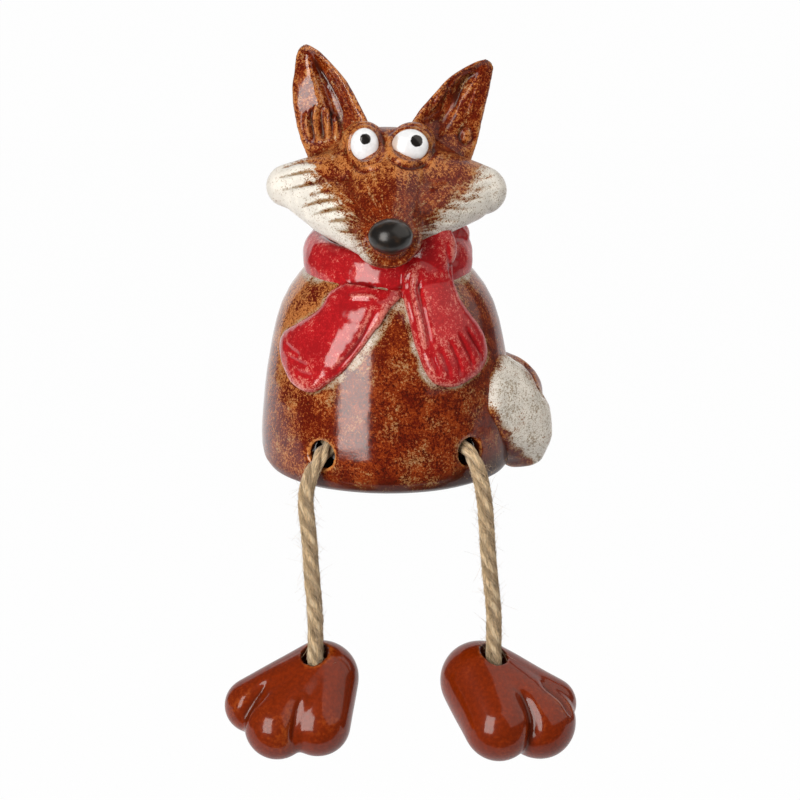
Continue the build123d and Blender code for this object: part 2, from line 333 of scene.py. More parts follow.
def along(line, count):
    """Points spaced evenly along a line of places, rounded at its corners."""
    line = np.array(line, float)
    if len(line) > 2:
        padded = np.vstack([2 * line[0] - line[1], line, 2 * line[-1] - line[-2]])
        rounded = []
        for a, b, c, d in zip(padded, padded[1:], padded[2:], padded[3:]):
            for t in np.linspace(0, 1, 9)[:-1]:
                square = (2 * a - 5 * b + 4 * c - d) * t**2
                cube = (3 * b - a - 3 * c + d) * t**3
                rounded.append(0.5 * (2 * b + (c - a) * t + square + cube))
        line = np.array(rounded + [line[-1]])
    reach = lengths(line)
    wanted = np.linspace(0, reach[-1], count)
    return np.stack([np.interp(wanted, reach, line[:, axis]) for axis in range(line.shape[1])], 1)


def between(line, share):
    """The place that share of the way through a line's points."""
    index = share * (len(line) - 1)
    low = int(min(index, len(line) - 2))
    blend = index - low
    return line[low] * (1 - blend) + line[low + 1] * blend


def ease(value, low, high):
    """A smooth step from 0 at low to 1 at high."""
    share = np.clip((value - low) / (high - low), 0, 1)
    return share * share * (3 - 2 * share)


def to_line(points, line):
    """Each point's distance to a line, and how far along the line it lies, from 0 to 1."""
    best = np.full(len(points), 1e9)
    place = np.zeros(len(points))
    runs = len(line) - 1
    for index, (start, stop) in enumerate(zip(line, line[1:])):
        run = stop - start
        share = np.clip((points - start) @ run / max(run @ run, 1e-12), 0, 1)
        gap = np.linalg.norm(points - start - share[:, None] * run, axis=1)
        closer = gap < best
        best[closer] = gap[closer]
        place[closer] = (index + share[closer]) / runs
    return best, place


def inside(places, outline):
    """Signed distance of picture places to a closed outline, positive inside it."""
    outline = np.array(outline, float)
    gap, _ = to_line(places, np.vstack([outline, outline[:1]]))
    odd = np.zeros(len(places), bool)
    for (x0, y0), (x1, y1) in zip(outline, np.roll(outline, -1, axis=0)):
        crosses = (y0 > places[:, 1]) != (y1 > places[:, 1])
        reach = x0 + (places[:, 1] - y0) / (y1 - y0 if y1 != y0 else 1e-9) * (x1 - x0)
        odd ^= crosses & (places[:, 0] < reach)
    return np.where(odd, gap, -gap)


def ripple(points, size, seed):
    """Soft unevenness between -1 and 1, with bumps about that many millimetres across."""
    rng = np.random.default_rng(seed)
    total = np.zeros(len(points))
    for _ in range(7):
        way = rng.normal(size=3)
        way *= 2 * pi / (size * rng.uniform(0.8, 1.6)) / np.linalg.norm(way)
        total += np.sin(points @ way + rng.uniform(0, 2 * pi))
    return total / 7 * 1.6


def read_rows(items, name):
    """One vector of each item, as rows."""
    flat = np.empty(len(items) * 3, np.float32)
    items.foreach_get(name, flat)
    return flat.reshape(-1, 3).astype(float)


def store(mesh, name, values):
    """Keep a number or a vector at each point of a mesh."""
    kind, field = ("FLOAT", "value") if values.ndim == 1 else ("FLOAT_VECTOR", "vector")
    layer = mesh.attributes.get(name) or mesh.attributes.new(name, kind, "POINT")
    layer.data.foreach_set(field, values.astype(np.float32).ravel())


class Clay:
    """A piece's skin in millimetres, with the strokes that are pressed into it."""

    def __init__(self, piece):
        self.piece = piece
        mesh = piece.data
        self.points = read_rows(mesh.vertices, "co") / MM
        self.normals = read_rows(mesh.vertex_normals, "vector")
        self.tree = BVHTree.FromPolygons(
            [tuple(point) for point in self.points], [tuple(face.vertices) for face in mesh.polygons]
        )
        self.places = seen(self.points)
        self.facing = -(self.normals @ CAMERA_WAY)
        self.move = np.zeros(len(self.points))

    def touch(self, place):
        """The point of the skin behind a picture place."""
        return self.tree.ray_cast(Vector(CAMERA_PLACE), Vector(sight(*place)))[0]

    def lay(self, line):
        """A picture line laid on the skin."""
        hits = [self.touch(place) for place in along(line, 24)]
        return np.array([hit for hit in hits if hit is not None], float)

    def near(self, line, width, taper=0.0):
        """How near each point is to a picture line on the skin: 1 on it and 0 a few widths away."""
        path = self.lay(line)
        share = np.zeros(len(self.points))
        if len(path) < 2:
            return share
        low, high = path.min(0) - 3 * width, path.max(0) + 3 * width
        close = np.all((self.points > low) & (self.points < high), axis=1)
        gap, place = to_line(self.points[close], path)
        fall = np.exp(-((gap / width) ** 2))
        if taper:
            fall *= ease(np.minimum(place, 1 - place), 0, taper)
        share[close] = fall
        return share

    def press(self, line, width, depth, taper=0.3):
        """Press a groove, or with a negative depth raise a ridge."""
        self.move -= depth * self.near(line, width, taper)

    def tongue(self, line, width):
        """A stroke that narrows and fades from the start of a line to its end."""
        gap, place = to_line(self.points, self.lay(line))
        narrowed = width * (1.15 - 0.70 * place)
        return np.exp(-((gap / narrowed) ** 2)) * (1 - 0.4 * place) * ease(1 - place, 0, 0.15)

    def settle(self):
        """Write the strokes into the mesh."""
        self.points = self.points + self.normals * self.move[:, None]
        mesh = self.piece.data
        mesh.vertices.foreach_set("co", (self.points * MM).astype(np.float32).ravel())
        mesh.update()
        self.normals = read_rows(mesh.vertex_normals, "vector")

    def hollows(self):
        """How hollow the skin is at each point, and below zero how much of a ridge it is."""
        mesh = self.piece.data
        ends = np.empty(len(mesh.edges) * 2, np.int32)
        mesh.edges.foreach_get("vertices", ends)
        ends = ends.reshape(-1, 2)
        ends = np.vstack([ends, ends[:, ::-1]])
        count = np.maximum(np.bincount(ends[:, 0], minlength=len(self.points)), 1)

        def around(values):
            return np.bincount(ends[:, 0], values[ends[:, 1]], len(self.points)) / count

        mean = self.points
        for _ in range(3):
            mean = np.stack([around(mean[:, axis]) for axis in range(3)], 1)
        bend = np.sum((mean - self.points) * self.normals, axis=1)
        for _ in range(4):
            bend = around(bend)
        return bend

    def flow(self, vectors):
        """Keep the run of the glaze on the piece."""
        store(self.piece.data, "flow", vectors)

    def paint(self, name, values):
        """Keep a mask on the piece for its glaze."""
        store(self.piece.data, name, np.clip(values, 0, 1))


# Glazes


class Field:
    """One socket of a recipe, with arithmetic on it."""

    def __init__(self, recipe, socket):
        self.recipe, self.socket = recipe, socket

    def math(self, operation, first, second):
        return self.recipe.node("ShaderNodeMath", {0: first, 1: second}, operation=operation)

    def __add__(self, other):
        return self.math("ADD", self, other)

    def __radd__(self, other):
        return self.math("ADD", other, self)

    def __sub__(self, other):
        return self.math("SUBTRACT", self, other)

    def __rsub__(self, other):
        return self.math("SUBTRACT", other, self)

    def __mul__(self, other):
        return self.math("MULTIPLY", self, other)

    def __rmul__(self, other):
        return self.math("MULTIPLY", other, self)


class Recipe:
    """A material and the few moves that its nodes are made with."""

    def __init__(self, name):
        self.material = bpy.data.materials.new(name)
        self.material.use_nodes = True
        self.tree = self.material.node_tree
        self.tree.nodes.clear()
        self.place = self.node("ShaderNodeTexCoord", output="Object")

    def node(self, kind, inputs=None, output=0, **settings):
        node = self.tree.nodes.new(kind)
        for name, value in settings.items():
            setattr(node, name, value)
        for name, value in (inputs or {}).items():
            if isinstance(value, Field):
                self.tree.links.new(value.socket, node.inputs[name])
            else:
                node.inputs[name].default_value = value
        return Field(self, node.outputs[output])

    def noise(self, scale, detail=2.0, roughness=0.5, place=None):
        inputs = {"Vector": place or self.place, "Scale": scale, "Detail": detail, "Roughness": roughness}
        return self.node("ShaderNodeTexNoise", inputs, "Fac")

    def step(self, value, low, high):
        inputs = {"Value": value, "From Min": low, "From Max": high}
        return self.node("ShaderNodeMapRange", inputs, interpolation_type="SMOOTHSTEP")

    def mix(self, share, first, second):
        return self.node("ShaderNodeMix", {0: share, 6: first, 7: second}, 2, data_type="RGBA")

    def mask(self, name, output="Fac"):
        return self.node("ShaderNodeAttribute", output=output, attribute_name=name)

    def bump(self, height, strength, distance, normal=None):
        inputs = {"Height": height, "Strength": strength, "Distance": distance}
        if normal:
            inputs["Normal"] = normal
        return self.node("ShaderNodeBump", inputs)

    def surface(self, colour, roughness, normal=None, **constants):
        inputs = {"Base Color": colour, "Roughness": roughness}
        if normal:
            inputs["Normal"] = normal
        inputs.update({name.replace("_", " "): value for name, value in constants.items()})
        return self.node("ShaderNodeBsdfPrincipled", inputs)

    def glaze(self, colour, roughness, normal=None, **constants):
        """End the recipe in a glazed or plain surface."""
        self.node_output(self.surface(colour, roughness, normal, **constants))
        return self.material

    def enamel(self, colour, normal):
        """End the recipe in a glaze that dries dull where the gloss mask is low."""
        dull = self.surface(colour, 0.40, normal, IOR=1.5, Specular_IOR_Level=0.15)
        bright = self.surface(colour, 0.11, normal, IOR=1.5)
        self.node_output(self.node("ShaderNodeMixShader", {0: self.mask("gloss"), 1: dull, 2: bright}))
        return self.material

    def node_output(self, shader):
        output = self.tree.nodes.new("ShaderNodeOutputMaterial")
        self.tree.links.new(shader.socket, output.inputs["Surface"])


def fox_glaze():
    """Mottled brown glaze over cream slip, shared by body, head and tail."""
    tint = colours()
    r = Recipe("fox_glaze")
    flow = r.mask("flow", "Vector")
    streak = r.noise(1.6, 3.0, 0.6, flow)
    cloud = r.noise(230.0, 4.0, 0.6)
    grain = r.noise(1300.0, 3.0, 0.7)
    fleck = r.noise(3000.0, 2.0, 0.6)
    thin = r.mask("thin")
    cream = r.mask("cream")
    dark = r.mask("dark")
    stain = r.mask("stain")
    fine = grain - 0.5 + (fleck - 0.5) * 0.7
    mottle = fine * 1.2 + (cloud - 0.5) * 0.7 + (streak - 0.5) * 0.6
    brown = r.mix(r.step(mottle, -0.14, 0.22), rgba(tint.rust), rgba(tint.tan))
    # Honey where the thin mask is high: glaze running thin, and painted light on the body's side towards the
    # key lamp and on the forehead.
    gold = r.step(thin + fine * 2.7 + (streak - 0.5) * 1.2 + (cloud - 0.5) * 0.9, 0.52, 1.10)
    brown = r.mix(gold, brown, rgba(tint.honey))
    speck = r.step(fine + (cloud - 0.5) * 0.25 + thin * 0.12, -0.04, -0.16)
    brown = r.mix(speck * 0.85, brown, rgba(tint.umber))
    # Umber where the dark mask is high: glaze lying thick in hollows, brushed strokes, and painted shade in
    # the cord holes, inside and under the body, low on the tail and in its crease.
    brown = r.mix(r.step(dark + fine * 1.1, 0.30, 0.85) * 0.92, brown, rgba(tint.umber, 0.9))
    slip = r.mix(r.step(cloud + fine * 0.5, 0.35, 0.75), rgba(tint.cream, 0.92), rgba(tint.cream, 1.10))
    spots = r.step(fine + (streak - 0.5) * 0.5 + stain * 0.22, 0.20, 0.32)
    slip = r.mix(spots * (0.45 + stain * 0.40), slip, rgba((0.26, 0.16, 0.065)))
    # The same mask darkens the slip, the painted shadow in the tail's crease included.
    slip = r.mix(r.step(dark + fine * 0.9, 0.34, 0.80) * 0.88, slip, rgba((0.21, 0.125, 0.042)))
    worn = cream + fine * 1.7 + (streak - 0.5) * 1.7
    colour = r.mix(r.step(worn, 0.16, 0.46) * 0.75, brown, rgba((0.40, 0.21, 0.075)))
    colour = r.mix(r.step(worn, 0.40, 0.70), colour, slip)
    wave = r.bump(r.noise(150.0, 1.5), 0.08, 0.0012)
    skin = r.bump(grain, 0.04, 0.0005, wave)
    return r.enamel(colour, skin)


def red_glaze():
    """Scarf glaze that breaks pale on its edges."""
    tint = colours()
    r = Recipe("red_glaze")
    cloud = r.noise(150.0, 3.0, 0.55)
    grain = r.noise(900.0, 4.0, 0.7)
    fleck = r.noise(2300.0, 2.0, 0.6)
    thin = r.mask("thin")
    dark = r.mask("dark")
    fine = grain - 0.5 + (fleck - 0.5) * 0.7
    red = r.mix(r.step(fine + (cloud - 0.5) * 0.8, -0.2, 0.25), rgba(tint.red, 0.76), rgba(tint.red, 1.18))
    worn = thin + fine * 2.4 + (cloud - 0.5) * 1.3
    red = r.mix(r.step(worn, 0.62, 1.24) * 0.74, red, rgba(tint.pink))
    red = r.mix(r.step(dark + fine * 0.8, 0.30, 0.90) * 0.85, red, rgba((0.13, 0.007, 0.006)))
    wave = r.bump(r.noise(190.0, 1.5), 0.12, 0.0010)
    skin = r.bump(grain, 0.05, 0.0005, wave)
    return r.enamel(red, skin)


def amber_glaze():
    """Clear brown glaze of the paws."""
    tint = colours()
    r = Recipe("amber_glaze")
    cloud = r.noise(110.0, 3.0, 0.55)
    grain = r.noise(900.0, 3.0, 0.62)
    thin = r.mask("thin")
    dark = r.mask("dark")
    fine = (grain - 0.5) * 1.3
    tone = r.step(fine + (cloud - 0.5) * 0.5, -0.3, 0.3)
    amber = r.mix(tone, rgba(tint.amber, 0.80), rgba(tint.amber, 1.18))
    glow = r.step(thin + (cloud - 0.5) * 0.5 + fine * 0.6, 0.42, 1.05)
    amber = r.mix(glow, amber, rgba((0.40, 0.088, 0.012)))
    # Dark where the dark mask is high: painted shade in the cord's bore, and glaze lying thick in the
    # grooves.
    amber = r.mix(r.step(dark + fine * 0.4, 0.10, 1.0), amber, rgba((0.060, 0.009, 0.002)))
    wave = r.bump(r.noise(160.0, 1.5), 0.06, 0.0010)
    return r.enamel(amber, wave)


def black_glaze():
    """Nose glaze with a brown bloom."""
    tint = colours()
    r = Recipe("black_glaze")
    cloud = r.noise(260.0, 3.0, 0.6)
    black = r.mix(r.step(cloud, 0.5, 0.8), rgba(tint.black), rgba((0.05, 0.028, 0.016)))
    wave = r.bump(r.noise(500.0, 2.0), 0.08, 0.0006)
    return r.glaze(black, 0.28, wave, IOR=1.45)


def eye_glaze():
    """White glaze with a painted pupil and a brown rim."""
    tint = colours()
    r = Recipe("eye_glaze")
    gaze = r.mask("gaze", "Vector")
    reach = r.node("ShaderNodeVectorMath", {0: gaze}, "Value", operation="LENGTH")
    grain = r.noise(700.0, 3.0, 0.6)
    rim = r.mask("dark")
    white = r.mix(r.step(grain, 0.35, 0.7), rgba(tint.white, 1.0), rgba(tint.white, 1.12))
    white = r.mix(r.step(rim + (grain - 0.5) * 0.7, 0.55, 0.95) * 0.6, white, rgba((0.45, 0.25, 0.12)))
    pupil = r.step(reach + (grain - 0.5) * 0.3, 1.0, 0.86)
    return r.glaze(r.mix(pupil, white, rgba(tint.black)), 0.14, IOR=1.5)


def jute_fibre():
    """Cord fibre, with painted shade between the strands."""
    tint = colours()
    r = Recipe("jute_fibre")
    fibre = r.mask("fibre", "Vector")
    hair = r.noise(3.4, 3.0, 0.65, fibre)
    yarn = r.noise(1.1, 2.0, 0.5, fibre)
    strand_shade = r.mask("dark")
    colour = r.mix(r.step(hair, 0.32, 0.68), rgba(tint.jute, 0.42), rgba(tint.jute, 1.5))
    colour = r.mix(r.step(yarn, 0.45, 0.62) * 0.55, colour, rgba((0.80, 0.65, 0.44)))
    # Painted shade between the strands, where the dark mask is high.
    colour = r.mix(strand_shade * 0.6, colour, rgba((0.14, 0.085, 0.04)))
    skin = r.bump(hair, 0.55, 0.0004)
    return r.glaze(colour, 0.85, skin, Sheen_Weight=0.25)


# Cords


def cord_line(name, route):
    """Close points on the smooth line that a cord's route gives, in millimetres."""
    curve = bpy.data.curves.new(name, "CURVE")
    curve.dimensions = "3D"
    spline = curve.splines.new("NURBS")
    spline.points.add(len(route) - 1)
    for point, place in zip(spline.points, route):
        point.co = (*[value * MM for value in place], 1.0)
    spline.order_u = 3
    spline.use_endpoint_u = True
    spline.resolution_u = curve.resolution_u = 40
    guide = bpy.data.objects.new(name, curve)
    bpy.context.scene.collection.objects.link(guide)
    bpy.context.view_layer.update()
    mesh = bpy.data.meshes.new_from_object(guide)
    points = np.array([vertex.co for vertex in mesh.vertices], float) / MM
    bpy.data.meshes.remove(mesh)
    bpy.data.objects.remove(guide, do_unlink=True)
    bpy.data.curves.remove(curve)
    return points


def carried_frames(line):
    """Tangents and two cross directions that turn as little as they can along a line."""
    tangents = np.gradient(line, axis=0)
    tangents /= np.linalg.norm(tangents, axis=1)[:, None]
    first = np.array((1.0, 0.0, 0.0))
    firsts = []
    for tangent in tangents:
        first = first - tangent * (first @ tangent)
        first /= np.linalg.norm(first)
        firsts.append(first)
    firsts = np.array(firsts)
    return tangents, firsts, np.cross(tangents, firsts)


def spoke(angle, firsts, seconds):
    """Directions at angles from first towards second ones."""
    return np.cos(angle)[..., None] * firsts + np.sin(angle)[..., None] * seconds


class Spinner:
    """Gathers tubes of fibre into one mesh."""

    def __init__(self):
        self.points, self.faces, self.fibre, self.dark, self.caps = [], [], [], [], []

    def tube(self, rings, fibre, dark, closed=False):
        """Join rings of points, shaped (rings, sides, 3), into a tube with capped ends."""
        count, sides, _ = rings.shape
        base = sum(len(part) for part in self.points)
        self.points.append(rings.reshape(-1, 3))
        self.fibre.append(fibre.reshape(-1, 3))
        self.dark.append(dark.reshape(-1))
        around = np.arange(sides)
        beside = (around + 1) % sides
        for index in range(count if closed else count - 1):
            low, high = base + index * sides, base + (index + 1) % count * sides
            for a, b in zip(around, beside):
                self.faces.append((low + a, low + b, high + b, high + a))
        if not closed:
            last = base + (count - 1) * sides
            self.caps += [len(self.faces), len(self.faces) + 1]
            self.faces.append(tuple(base + a for a in around[::-1]))
            self.faces.append(tuple(last + a for a in around))

    def piece(self, name):
        """The tubes as one piece, smooth but for the caps, which would shade a seam into the cord."""
        mesh = bpy.data.meshes.new(name)
        mesh.from_pydata([tuple(point * MM) for point in np.vstack(self.points)], [], self.faces)
        store(mesh, "fibre", np.vstack(self.fibre))
        store(mesh, "dark", np.concatenate(self.dark))
        smooth = np.ones(len(mesh.polygons), bool)
        smooth[self.caps] = False
        mesh.polygons.foreach_set("use_smooth", smooth)
        mesh.update()
        piece = bpy.data.objects.new(name, mesh)
        bpy.context.scene.collection.objects.link(piece)
        return face_outwards(piece)


def spin_rope(name, line, frames, start):
    """Three twisted strands along a stretch that starts that far along its cord."""
    spinner = Spinner()
    radius = sizes().cord_diameter / MM / 2
    pitch = sizes().cord_pitch / MM
    strand = radius * 0.53
    off_axis = radius - strand
    reach = start + lengths(line)
    _, firsts, seconds = frames
    around = np.linspace(0, 2 * pi, 22, endpoint=False)
    for index in range(3):
        turn = -2 * pi * reach / pitch + index * 2 * pi / 3 + 0.22 * np.sin(reach / 5.3 + index * 1.9)
        swell = strand * (
            0.97 + 0.06 * np.sin(reach / 2.1 + 2.2 * index) + 0.05 * np.sin(reach / 0.83 + index)
        )
        middle = line + off_axis * spoke(turn, firsts, seconds)
        angle = around[None, :] + turn[:, None]
        yarn = around[None, :] + turn[:, None] * 1.6
        lobes = 1 + 0.055 * np.cos(5 * yarn) + 0.035 * np.cos(9 * yarn + 1.3)
        reach_out = swell[:, None] * lobes
        outs = spoke(angle, firsts[:, None, :], seconds[:, None, :])
        rings = middle[:, None, :] + reach_out[..., None] * outs
        run = reach[:, None] * 0.16 + index * 7.0 + 0 * yarn
        fibre = np.stack([1.2 * np.cos(yarn), 1.2 * np.sin(yarn), run], 2)
        outness = np.linalg.norm(rings - line[:, None, :], axis=2) / radius
        # Painted shade deep between the strands, nearest the cord's middle.
        dark = 1 - ease(outness, 0.35, 0.88)
        spinner.tube(rings, fibre, dark)
    return spinner.piece(name)


def spin_hair(spinner, hair, outs, acrosses, thickness, shade):
    """One fibre through its points, with its cross directions and its thickness at each."""
    spokes = [(cos(angle), sin(angle)) for angle in (0, 2 * pi / 3, 4 * pi / 3)]
    thickness = thickness[:, None]
    rings = np.stack([hair + thickness * (cosine * outs + sine * acrosses) for cosine, sine in spokes], 1)
    fibre = np.full(rings.shape, shade) + np.linspace(0, 0.5, len(hair))[:, None, None]
    spinner.tube(rings, fibre, np.zeros(rings.shape[:2]))


def spin_fuzz(name, line, frames, rng, free, stop):
    """Fibres that lie along a cord, and stray ones, which begin between two of its points."""
    spinner = Spinner()
    radius = sizes().cord_diameter / MM / 2
    pitch = sizes().cord_pitch / MM
    tangents, firsts, seconds = frames
    reach = lengths(line)
    for _ in range(sizes().lying_fibres):
        first = rng.integers(free - 3, stop)
        last = min(first + rng.integers(10, 40), len(line) - 2)
        at = np.linspace(first, last, 8).astype(int)
        angle = rng.uniform(0, 2 * pi) - 2 * pi / pitch * rng.normal(1.0, 0.55) * (reach[at] - reach[first])
        outs = spoke(angle, firsts[at], seconds[at])
        lift = radius * rng.uniform(0.84, 0.97) + 0.5 * rng.random() ** 2 * np.linspace(-1, 1, 8) ** 4
        thickness = rng.uniform(0.04, 0.11) * (1 - 0.5 * np.linspace(-1, 1, 8) ** 2)
        hair = line[at] + lift[:, None] * outs
        spin_hair(spinner, hair, outs, np.cross(tangents[at], outs), thickness, rng.uniform(0, 50))
    for _ in range(sizes().stray_fibres):
        at = rng.integers(free, stop)
        side = rng.uniform(0, 2 * pi)
        out = spoke(side, firsts[at], seconds[at])
        run = tangents[at] * rng.choice((-1, 1)) * rng.uniform(0.5, 1.2)
        swing = np.cross(tangents[at], out) * rng.normal(0, 0.6)
        shares = np.linspace(0, 1, 6)
        rise = rng.uniform(0.25, 0.75) * shares + rng.normal(0, 0.35) * shares**2
        hair = line[at] + out * radius * 0.85
        hair = hair + rng.uniform(1.0, 4.2) * (shares[:, None] * (run + swing) + rise[:, None] * out)
        outs = np.repeat(out[None, :], 6, axis=0)
        across = np.cross(run / np.linalg.norm(run), outs)
        spin_hair(spinner, hair, outs, across, 0.05 * (1 - 0.6 * shares), rng.uniform(0, 50))
    return spinner.piece(name)


def tie_knot(name, node, way):
    """A tight overhand knot in the cord, filling its node's place."""
    low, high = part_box(node)
    middle = np.array((low + high) / 2) / MM
    turn = Vector(way).to_track_quat("Z", "Y").to_matrix()
    share = np.linspace(0, 2 * pi, 90, endpoint=False)
    path = np.stack(
        [
            1.08 * (np.sin(share) + 2 * np.sin(2 * share)),
            1.08 * (np.cos(share) - 2 * np.cos(2 * share)),
            -2.55 * np.sin(3 * share),
        ],
        1,
    )
    path = path @ np.array(turn).T + middle
    tangents = np.roll(path, -1, axis=0) - np.roll(path, 1, axis=0)
    tangents /= np.linalg.norm(tangents, axis=1)[:, None]
    outs = path - middle
    outs -= tangents * np.sum(outs * tangents, axis=1)[:, None]
    outs /= np.linalg.norm(outs, axis=1)[:, None]
    sides = np.cross(tangents, outs)
    around = np.linspace(0, 2 * pi, 18, endpoint=False)
    twist = 9 * share
    yarn = around[None, :] - twist[:, None] / 3
    angle = around[None, :] + 0 * share[:, None]
    lobes = 2.1 * (1 + 0.10 * np.cos(3 * yarn))
    rings = path[:, None, :] + lobes[..., None] * spoke(angle, outs[:, None, :], sides[:, None, :])
    run = np.abs(share - pi)[:, None] * 0.8 + 0 * yarn
    fibre = np.stack([1.2 * np.cos(yarn), 1.2 * np.sin(yarn), run], 2)
    spinner = Spinner()
    # Painted shade between the knot's three lobes.
    spinner.tube(rings, fibre, 0.5 - 0.5 * np.cos(3 * yarn), closed=True)
    return spinner.piece(name)


class FOX_OT_cords(bpy.types.Operator):
    """Spin both cord legs, half and half, and tie their knots"""

    bl_idname = "fox.cords"
    bl_label = "Cords"

    def execute(self, context):
        jute = jute_fibre()
        for side in SIDES:
            line = along(cord_line(f"{side}_cord_line", CORD_ROUTES[side]), CORD_POINTS)
            whole_frames = carried_frames(line)
            way = Vector(EXIT_WAYS[side])
            knot = tie_knot(f"{side}_hip_tie", f"{side}_hip_knot", -way + Vector((0, 0, 0.5)))
            dress(knot, jute, f"{side}_hip", "jute", f"{side}_hip_knot")
            foot_knot = tie_knot(f"{side}_paw_tie", f"{side}_paw_knot", (0, 0, 1))
            dress(foot_knot, jute, f"{side}_ankle", "jute", f"{side}_paw_knot")
            half = len(line) // 2
            rng = np.random.default_rng(31 + SIDES[side])
            reach = 0.0
            pieces = []
            for name, part, free, stop in (
                ("upper", slice(0, half + 1), WALL_POINTS, half),
                ("lower", slice(half, None), half + MEETING_POINTS, CORD_POINTS - BORE_POINTS),
            ):
                stretch = line[part]
                frames = [rows[part] for rows in whole_frames]
                piece = spin_rope(f"{side}_cord_{name}", stretch, frames, reach)
                reach += np.linalg.norm(np.diff(stretch, axis=0), axis=1).sum()
                dress(piece, jute, None, "jute", f"{side}_cord")
                fuzz = spin_fuzz(f"{side}_fuzz_{name}", line, whole_frames, rng, free, stop)
                dress(fuzz, jute, None, "jute")
                pieces.append((piece, fuzz, stretch))
            exit_place = Vector(CORD_EXITS[side])
            (upper, upper_fuzz, top), (lower, lower_fuzz, bottom) = pieces
            for piece in (upper, upper_fuzz):
                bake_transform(piece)
            for piece in (lower, lower_fuzz):
                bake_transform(piece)
            for piece, stretch, leaves, end, others in (
                (upper, top, exit_place * MM, "object", [knot, upper_fuzz]),
                (lower, bottom, Vector(bottom[0]) * MM, "knot", [foot_knot, lower_fuzz]),
            ):
                [tuple(point * MM) for point in stretch]
        return {"FINISHED"}


# Pottery


# The thrown body's (radius, height), from its foot to its neck, and the opening in its foot.
BODY_PROFILE = [
    (29.6, 0.0), (33.4, 0.6), (36.2, 2.0), (37.9, 4.5), (38.6, 8.0), (38.75, 11.5), (38.6, 15.5),
    (38.25, 20.0), (37.8, 25.4), (37.1, 31.0), (36.2, 36.0), (35.3, 41.0), (34.1, 46.5), (32.4, 52.0),
    (29.9, 57.0), (27.0, 61.0), (24.0, 64.4),
]
FOOT_OPENING = 17.0


class FOX_OT_body(bpy.types.Operator):
    """Throw the hollow body and cut its cord holes"""

    bl_idname = "fox.body"
    bl_label = "Body"

    def execute(self, context):
        wall = sizes().wall / MM
        grain = sizes().clay_grain / MM
        inner = [(radius - wall, max(height, wall)) for radius, height in BODY_PROFILE[2:]]
        profile = BODY_PROFILE + inner[::-1] + [(FOOT_OPENING, wall), (FOOT_OPENING, 0.0)]
        body = turned("body", profile)
        for side in SIDES:
            exit_place, way = Vector(CORD_EXITS[side]), Vector(EXIT_WAYS[side])
            cut(body, rod(exit_place - way * 9, way, sizes().cord_hole / MM, 18))
        body = fuse([body], "body", grain, smoothing=4)
        clay = Clay(body)
        skin = ease(clay.normals[:, 0] * clay.points[:, 0] + clay.normals[:, 1] * clay.points[:, 1], 0, 8)
        clay.move += skin * 0.16 * ripple(clay.points, 22, 3)
        clay.settle()
        x, _, z = clay.points.T
        # Thin, golden glaze high on the shoulder is the glaze's own; the golden side towards the key lamp is
        # painted light, and the duller far side painted shade.
        thin = 0.04 + 0.38 * ease(z, 24, 58) + 0.48 * ease(-x, 6, 30) - 0.14 * ease(x, 4, 26)
        thin += 0.10 * ripple(clay.points, 24, 5)
        # Painted shade under the body, where it turns in at the bottom, lighter towards the key lamp, and low
        # on the side turned from the key lamp.
        foot = (1 - ease(z, 0.5, 13)) * (0.70 - 0.2 * ease(-x, 0, 30))
        foot += 0.50 * ease(x, 10, 36) * (1 - ease(z, 8, 48))
        # Painted shade inside each cord hole, and a honey ring round its edge.
        rim = np.zeros(len(clay.points))
        for side in SIDES:
            away = clay.points - np.array(CORD_EXITS[side])
            gap = np.linalg.norm(away, axis=1)
            rim = np.maximum(rim, 1 - ease(gap, 4.0, 4.6))
            thin += 0.9 * ease(gap, 4.0, 4.5) * (1 - ease(gap, 4.8, 5.6))
        # Painted shade on the inside of the wall.
        inside_wall = 1 - skin
        clay.paint("thin", thin * skin)
        clay.paint("dark", np.maximum(np.maximum(rim * 0.7, foot), inside_wall * 0.75))
        clay.paint("stain", np.ones(len(clay.points)))
        clay.paint("cream", np.zeros(len(clay.points)))
        clay.paint("gloss", (1 - 0.45 * ease(x, 14, 34)) * (0.30 + 0.70 * ease(z, 3.5, 11)))
        clay.flow(clay.points * 0.09)
        dress(body, fox_glaze(), "body", "brown_glaze", "body_shell")
        return {"FINISHED"}


# How far an ear's face lies behind its rims, from its outer rim to its inner one.
EAR_FACE = np.array(
    [
        (-1, 0), (-0.92, -0.7), (-0.5, -0.8), (-0.15, -0.8), (0, -0.2),
        (0.14, 1.9), (0.3, 2.6), (0.55, 1.7), (0.86, -0.5), (1, 0),
    ]
).T


def pictured(across, down, depth, size):
    """A station behind a picture place, with its radius given in picture steps."""
    place = at_depth((across, down), depth)
    return (*place, size * np.linalg.norm(place - CAMERA_PLACE) / FOCUS)


def oval_line(across, down, half_width, half_height):
    """A closed oval of picture places."""
    turns = np.linspace(0, 2 * pi, 33)
    return [(across + half_width * cos(turn), down + half_height * sin(turn)) for turn in turns]


